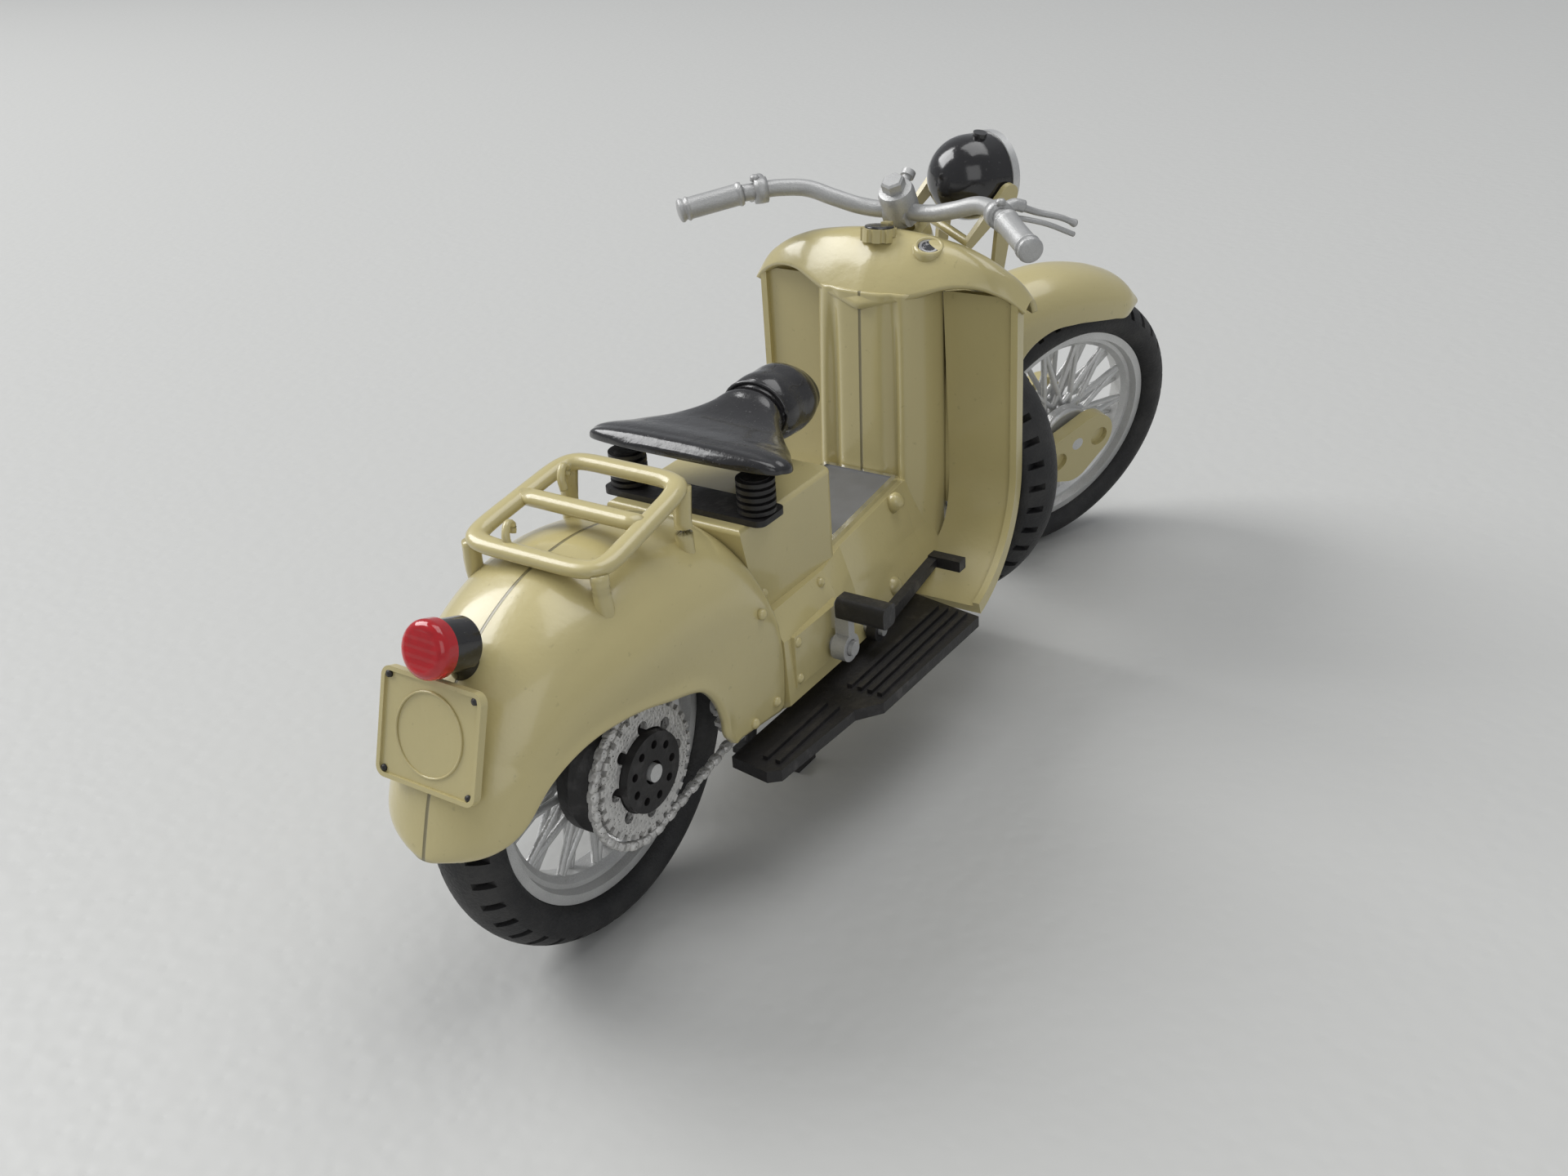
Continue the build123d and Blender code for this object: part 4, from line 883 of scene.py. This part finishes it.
class BuildHandlebar(bpy.types.Operator):
    """Bar, boss, grips and levers."""

    bl_idname = "scooter.handlebar"
    bl_label = "Handlebar"

    def execute(self, context):
        sizes = context.scene.scooter_sizes
        bar = rounded("handlebar_tube", bar_shape(sizes.bar_radius / MM), "silver", "bars")
        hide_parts("handlebar")
        boss = rounded("handlebar_boss", boss_shape(), "silver", "bars")
        crisp(boss)
        for side in ("right", "left"):
            grip_form, lever_form = grip_shape(sizes.grip_radius / MM), lever_shape()
            if side == "left":
                grip_form, lever_form = mirrored(grip_form), mirrored(lever_form)
            grip = rounded(f"grip_turned_{side}", grip_form, "silver", "bars")
            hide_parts(f"grip_{side}")
            lever = rounded(f"lever_set_{side}", lever_form, "silver", "bars")
            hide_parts(f"bar_lever_{side}")
        return {"FINISHED"}


def crisp(piece, angle=35):
    """Sharp edges stay sharp and the rest stays smooth."""
    sharp = piece.modifiers.new("edges", "EDGE_SPLIT")
    sharp.split_angle = radians(angle)


# ---------------------------------------------------------------- rack
RACK_MIDDLE = -25.15
RACK_HALF_LENGTH = 4.35
RACK_HEIGHT = 26.3
RACK_SLOPE = 0.8
CROSS_BAR_X = -24.9
BAR_FLATNESS = 0.72


def rack_shape(radius):
    """Rounded rectangle of flat bar (superellipse, power 7), a cross bar, four legs and two curled hooks."""
    turn = np.linspace(0, 2 * pi, 140, endpoint=False)
    power = 2 / 7
    ahead = np.sign(np.cos(turn)) * np.abs(np.cos(turn)) ** power
    side = np.sign(np.sin(turn)) * np.abs(np.sin(turn)) ** power
    x = RACK_MIDDLE + RACK_HALF_LENGTH * ahead
    y = side * (4.45 - 0.25 * ahead)
    z = RACK_HEIGHT + RACK_SLOPE * ahead
    loop = tube(np.stack([x, y, z], -1), radius, 16, True, BAR_FLATNESS)
    bar_z = RACK_HEIGHT + RACK_SLOPE * (CROSS_BAR_X - RACK_MIDDLE) / RACK_HALF_LENGTH
    across = np.stack([np.full(9, CROSS_BAR_X), np.linspace(-4.4, 4.4, 9), np.full(9, bar_z)], -1)
    pieces = [loop, tube(across, radius, 16, flat=BAR_FLATNESS)]
    for hand in (-1, 1):
        front_leg = [[-21.0, 4.1 * hand, 27.0], [-21.3, 4.15 * hand, 25.0], [-21.3, 4.2 * hand, 22.5]]
        rear_leg = [[-29.3, 4.55 * hand, 25.4], [-29.3, 4.6 * hand, 24.0], [-29.1, 4.6 * hand, 22.2]]
        pieces.append(tube(path_through(front_leg, 14), radius * 0.8, 12))
        pieces.append(tube(path_through(rear_leg, 12), radius * 0.8, 12))
    curl = np.array([[0, 0, -0.1], [0.1, 0.2, 0.7], [0.6, 0.4, 1.1], [1.0, 0.5, 0.8], [0.9, 0.5, 0.4]])
    for foot in ([-23.6, 2.4, 26.6], [-29.3, 1.7, 25.6]):
        pieces.append(tube(path_through(np.array(foot) + curl, 24), 0.24, 10))
    return joined(*pieces)


class BuildRack(bpy.types.Operator):
    """Painted rack behind the saddle."""

    bl_idname = "scooter.rack"
    bl_label = "Rack"

    def execute(self, context):
        radius = context.scene.scooter_sizes.rack_radius / MM
        piece = rounded("rack_bars", rack_shape(radius), "cream", "frame")
        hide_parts("rack")
        return {"FINISHED"}


# ---------------------------------------------------------------- chain
def chain_shape(pitch):
    """Links at equal steps round two circles and the straight runs between, every second one narrow."""
    rear, drive = middle("rear_sprocket"), middle("drive_sprocket")
    rear_r = (high("rear_sprocket") - low("rear_sprocket"))[2] / 2 + 0.42
    drive_r = (high("drive_sprocket") - low("drive_sprocket"))[2] / 2 + 0.42
    gap = drive - rear
    distance = np.hypot(gap[0], gap[2])
    heading = atan2(gap[2], gap[0])
    open_angle = np.arccos((rear_r - drive_r) / distance)
    back = np.linspace(heading + open_angle, heading + 2 * pi - open_angle, 200)
    nose = np.linspace(heading - open_angle, heading + open_angle, 100)
    loop = np.vstack([
        np.stack([rear[0] + rear_r * np.cos(back), rear[2] + rear_r * np.sin(back)], -1),
        np.stack([drive[0] + drive_r * np.cos(nose), drive[2] + drive_r * np.sin(nose)], -1),
    ])
    loop = np.vstack([loop, loop[:1]])
    distances = np.concatenate([[0], np.cumsum(np.linalg.norm(np.diff(loop, axis=0), axis=1))])
    count = 2 * round(distances[-1] / pitch / 2)
    at = np.linspace(0, distances[-1], count, endpoint=False)
    x, z = np.interp(at, distances, loop[:, 0]), np.interp(at, distances, loop[:, 1])
    ahead = np.roll(np.stack([x, z], -1), -1, 0) - np.roll(np.stack([x, z], -1), 1, 0)
    ahead = unit(ahead)
    zero = np.zeros(count)
    wide = np.where(np.arange(count) % 2, 0.34, 0.22)
    frames = np.stack([
        np.stack([ahead[:, 0], zero, ahead[:, 1]], -1) * 0.42 * pitch / 0.62,
        np.stack([zero, np.ones(count), zero], -1) * wide[:, None],
        np.stack([-ahead[:, 1], zero, ahead[:, 0]], -1) * 0.26,
    ], 1)
    places = np.stack([x, np.full(count, rear[1]), z], -1)
    return copies(pill(8, 6), places, frames)


def pill(turns, steps):
    """Unit superellipsoid of power 4: a rounded block of a few dozen faces."""
    around = np.linspace(0, 2 * pi, turns, endpoint=False)[None]
    up = np.linspace(-pi / 2, pi / 2, steps)[:, None]

    def bend(value):
        return np.sign(value) * np.abs(value) ** 0.5

    x = bend(np.cos(up)) * bend(np.cos(around))
    y = bend(np.cos(up)) * bend(np.sin(around))
    z = bend(np.sin(up)) * np.ones_like(around)
    return np.stack([x, y, z], -1).reshape(-1, 3), grid_faces(steps, turns, True).tolist()


class BuildChain(bpy.types.Operator):
    """Drive chain of separate links."""

    bl_idname = "scooter.chain"
    bl_label = "Drive chain"

    def execute(self, context):
        pitch = context.scene.scooter_sizes.chain_pitch / MM
        piece = rounded("chain_links", chain_shape(pitch), "metal", "frame")
        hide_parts("drive_chain")
        return {"FINISHED"}


# ---------------------------------------------------------------- screws and small relief
SCREW_PLACES = [
    (-18.1, -6.95, 18.0), (-15.1, -5.0, 17.5), (-9.8, -5.75, 15.9), (-19.6, -6.9, 11.2),
    (-17.2, -6.9, 11.4), (-14.6, -6.95, 14.3), (-9.8, -6.95, 14.3), (-14.6, -6.95, 11.7),
]


def screw_shape(radius):
    """A low dome with a flat rim."""
    profile = [(-0.25, radius), (0.05, radius), (0.12, radius * 0.75), (0.2, radius * 0.4), (0.22, 0.02)]
    return spun([0, 0, 0], [0, 0, 1], profile, 14)


class BuildScrews(bpy.types.Operator):
    """Screw heads on the case and body, bosses on the tunnel, and the plate's ring and rivets."""

    bl_idname = "scooter.screws"
    bl_label = "Screws and bosses"

    def execute(self, context):
        right = np.array(SCREW_PLACES)
        places = np.vstack([right, right * [1, -1, 1]])
        outward = np.sign(places[:, 1])
        ones, zeros = np.ones(len(places)), np.zeros(len(places))
        frames = np.stack([
            np.stack([ones, zeros, zeros], -1),
            np.stack([zeros, zeros, ones], -1),
            np.stack([zeros, outward, zeros], -1),
        ], 1)
        heads = copies(screw_shape(0.34), places, frames)
        rounded("case_screws", heads, "cream", "frame")
        bosses = [
            spun([2.8, -3.6, 15.6], [0.1, -0.8, 0.6], [(0, 0.7), (0.9, 0.6), (1.1, 0.4), (1.15, 0.05)], 20),
            spun([-0.4, -5.0, 10.9], [0, -1, 0.3], [(0, 0.8), (0.9, 0.7), (1.1, 0.45), (1.15, 0.05)], 20),
        ]
        both = joined(*bosses, *[mirrored(one) for one in bosses])
        rounded("tunnel_bosses", both, "cream", "frame")
        self.plate_relief()
        return {"FINISHED"}

    def plate_relief(self):
        """A thin ring and four dark rivets on the plate."""
        lowest, highest, centre = low("number_plate"), high("number_plate"), middle("number_plate")
        up = unit(np.array([highest[0] - lowest[0] - 0.5, 0, highest[2] - lowest[2]]))
        outward = np.array([-up[2], 0, up[0]])
        face = centre + outward * 0.14
        turn = np.linspace(0, 2 * pi, 64, endpoint=False)[:, None]
        ring = face + up * np.sin(turn) * 2.3 + np.array([0, 1, 0]) * np.cos(turn) * 2.3
        rounded("plate_ring", tube(ring, 0.07, 8, True), "cream", "frame")
        corners = [face + up * a * 2.6 + np.array([0, b * 3.0, 0]) for a in (-1, 1) for b in (-1, 1)]
        rivets = [spun(corner, outward, [(-0.1, 0.22), (0.08, 0.2), (0.14, 0.05)], 12) for corner in corners]
        rounded("plate_rivets", joined(*rivets), "satin", "frame")


# ---------------------------------------------------------------- finishes of the frame's own pieces
class FinishFrame(bpy.types.Operator):
    """Gives every piece of the frame its detailed finish."""

    bl_idname = "scooter.finishes"
    bl_label = "Finishes"

    def execute(self, context):
        make_materials()
        for finish, names in NODE_FINISHES.items():
            for name in names.split():
                slots = frame["nodes"][name].material_slots
                for slot in slots:
                    slot.material = MATERIALS[finish]
        return {"FINISHED"}


# ---------------------------------------------------------------- stage
class BuildStage(bpy.types.Operator):
    """Plain pale floor, soft lamps and the camera."""

    bl_idname = "scooter.stage"
    bl_label = "Stage"

    def execute(self, context):
        self.add_floor(context)
        self.add_lamps(context)
        self.add_camera(context)
        context.scene.view_settings.view_transform = "Standard"
        return {"FINISHED"}

    def add_floor(self, context):
        corners = np.array([[-1, -1, 0], [1, -1, 0], [1, 1, 0], [-1, 1, 0]]) * 2000.0
        mesh = bpy.data.meshes.new("floor")
        mesh.from_pydata((corners * MM - np.array([0, 0, 0.06 * MM])).tolist(), [], [[0, 1, 2, 3]])
        floor = bpy.data.objects.new("floor", mesh)
        context.scene.collection.objects.link(floor)
        colour = tuple(context.scene.scooter_colours.floor)
        paper = Finish("floor_laminate", colour, 0.45)
        pebble = paper.cells(1.1, "SMOOTH_F1")
        paper.bump(pebble, 0.05)
        mesh.materials.append(paper.material)

    def add_lamps(self, context):
        world = bpy.data.worlds.new("soft_room")
        world.use_nodes = True
        background = world.node_tree.nodes["Background"]
        background.inputs["Color"].default_value = (0.93, 0.96, 1.0, 1)
        background.inputs["Strength"].default_value = 0.36
        context.scene.world = world
        target = Vector((0, 0, 0.015))
        lamps = [
            ("window", (-0.10, 0.55, 0.50), 0.45, 4.2),
            ("ceiling", (0.20, -0.10, 0.80), 0.60, 2.6),
            ("fill", (-0.50, -0.45, 0.35), 0.50, 0.8),
        ]
        for name, place, size, power in lamps:
            light = bpy.data.lights.new(name, "AREA")
            light.size = size
            light.energy = power
            lamp = bpy.data.objects.new(name, light)
            lamp.location = place
            lamp.rotation_euler = (target - Vector(place)).to_track_quat("-Z", "Y").to_euler()
            context.scene.collection.objects.link(lamp)

    def add_camera(self, context):
        turn, rise, roll = radians(-55.42), radians(27.96), radians(-3.80)
        back = Vector((sin(turn) * cos(rise), -cos(turn) * cos(rise), sin(rise)))
        side = Vector((0, 0, 1)).cross(back).normalized()
        upward = back.cross(side)
        rolled_side = side * cos(roll) + upward * sin(roll)
        rolled_up = upward * cos(roll) - side * sin(roll)
        pose = Matrix((rolled_side, rolled_up, back)).transposed().to_4x4()
        pose.translation = Vector((-85.12, -54.76, 63.39)) * MM
        data = bpy.data.cameras.new("camera")
        data.sensor_width = 36
        data.lens = 36.51
        data.clip_start = 0.001
        camera = bpy.data.objects.new("camera", data)
        camera.matrix_world = pose
        context.scene.collection.objects.link(camera)
        context.scene.camera = camera


# ---------------------------------------------------------------- panel and registration
OPERATORS = (
    FinishFrame,
    BuildRearBody,
    BuildShieldCap,
    BuildFrontFender,
    BuildColumn,
    BuildSaddle,
    BuildHandlebar,
    BuildRack,
    BuildChain,
    BuildScrews,
    BuildStage,
)


class ScooterPanel(bpy.types.Panel):
    """Lists the sizes, the colours and the pieces."""

    bl_idname = "VIEW3D_PT_scooter"
    bl_label = "Model motor scooter"
    bl_space_type = "VIEW_3D"
    bl_region_type = "UI"
    bl_category = "Scooter"

    def draw(self, context):
        for group in (context.scene.scooter_sizes, context.scene.scooter_colours):
            for name in group.__annotations__:
                self.layout.prop(group, name)
        for operator in OPERATORS:
            self.layout.operator(operator.bl_idname)


CLASSES = (ScooterSizes, ScooterColours, *OPERATORS, ScooterPanel)


def register():
    for one in CLASSES:
        bpy.utils.register_class(one)
    bpy.types.Scene.scooter_sizes = PointerProperty(type=ScooterSizes)
    bpy.types.Scene.scooter_colours = PointerProperty(type=ScooterColours)


def unregister():
    del bpy.types.Scene.scooter_colours
    del bpy.types.Scene.scooter_sizes
    for one in reversed(CLASSES):
        bpy.utils.unregister_class(one)


def main():
    register()
    for operator in OPERATORS:
        group, name = operator.bl_idname.split(".")
        getattr(getattr(bpy.ops, group), name)()


if __name__ == "__main__":
    main()
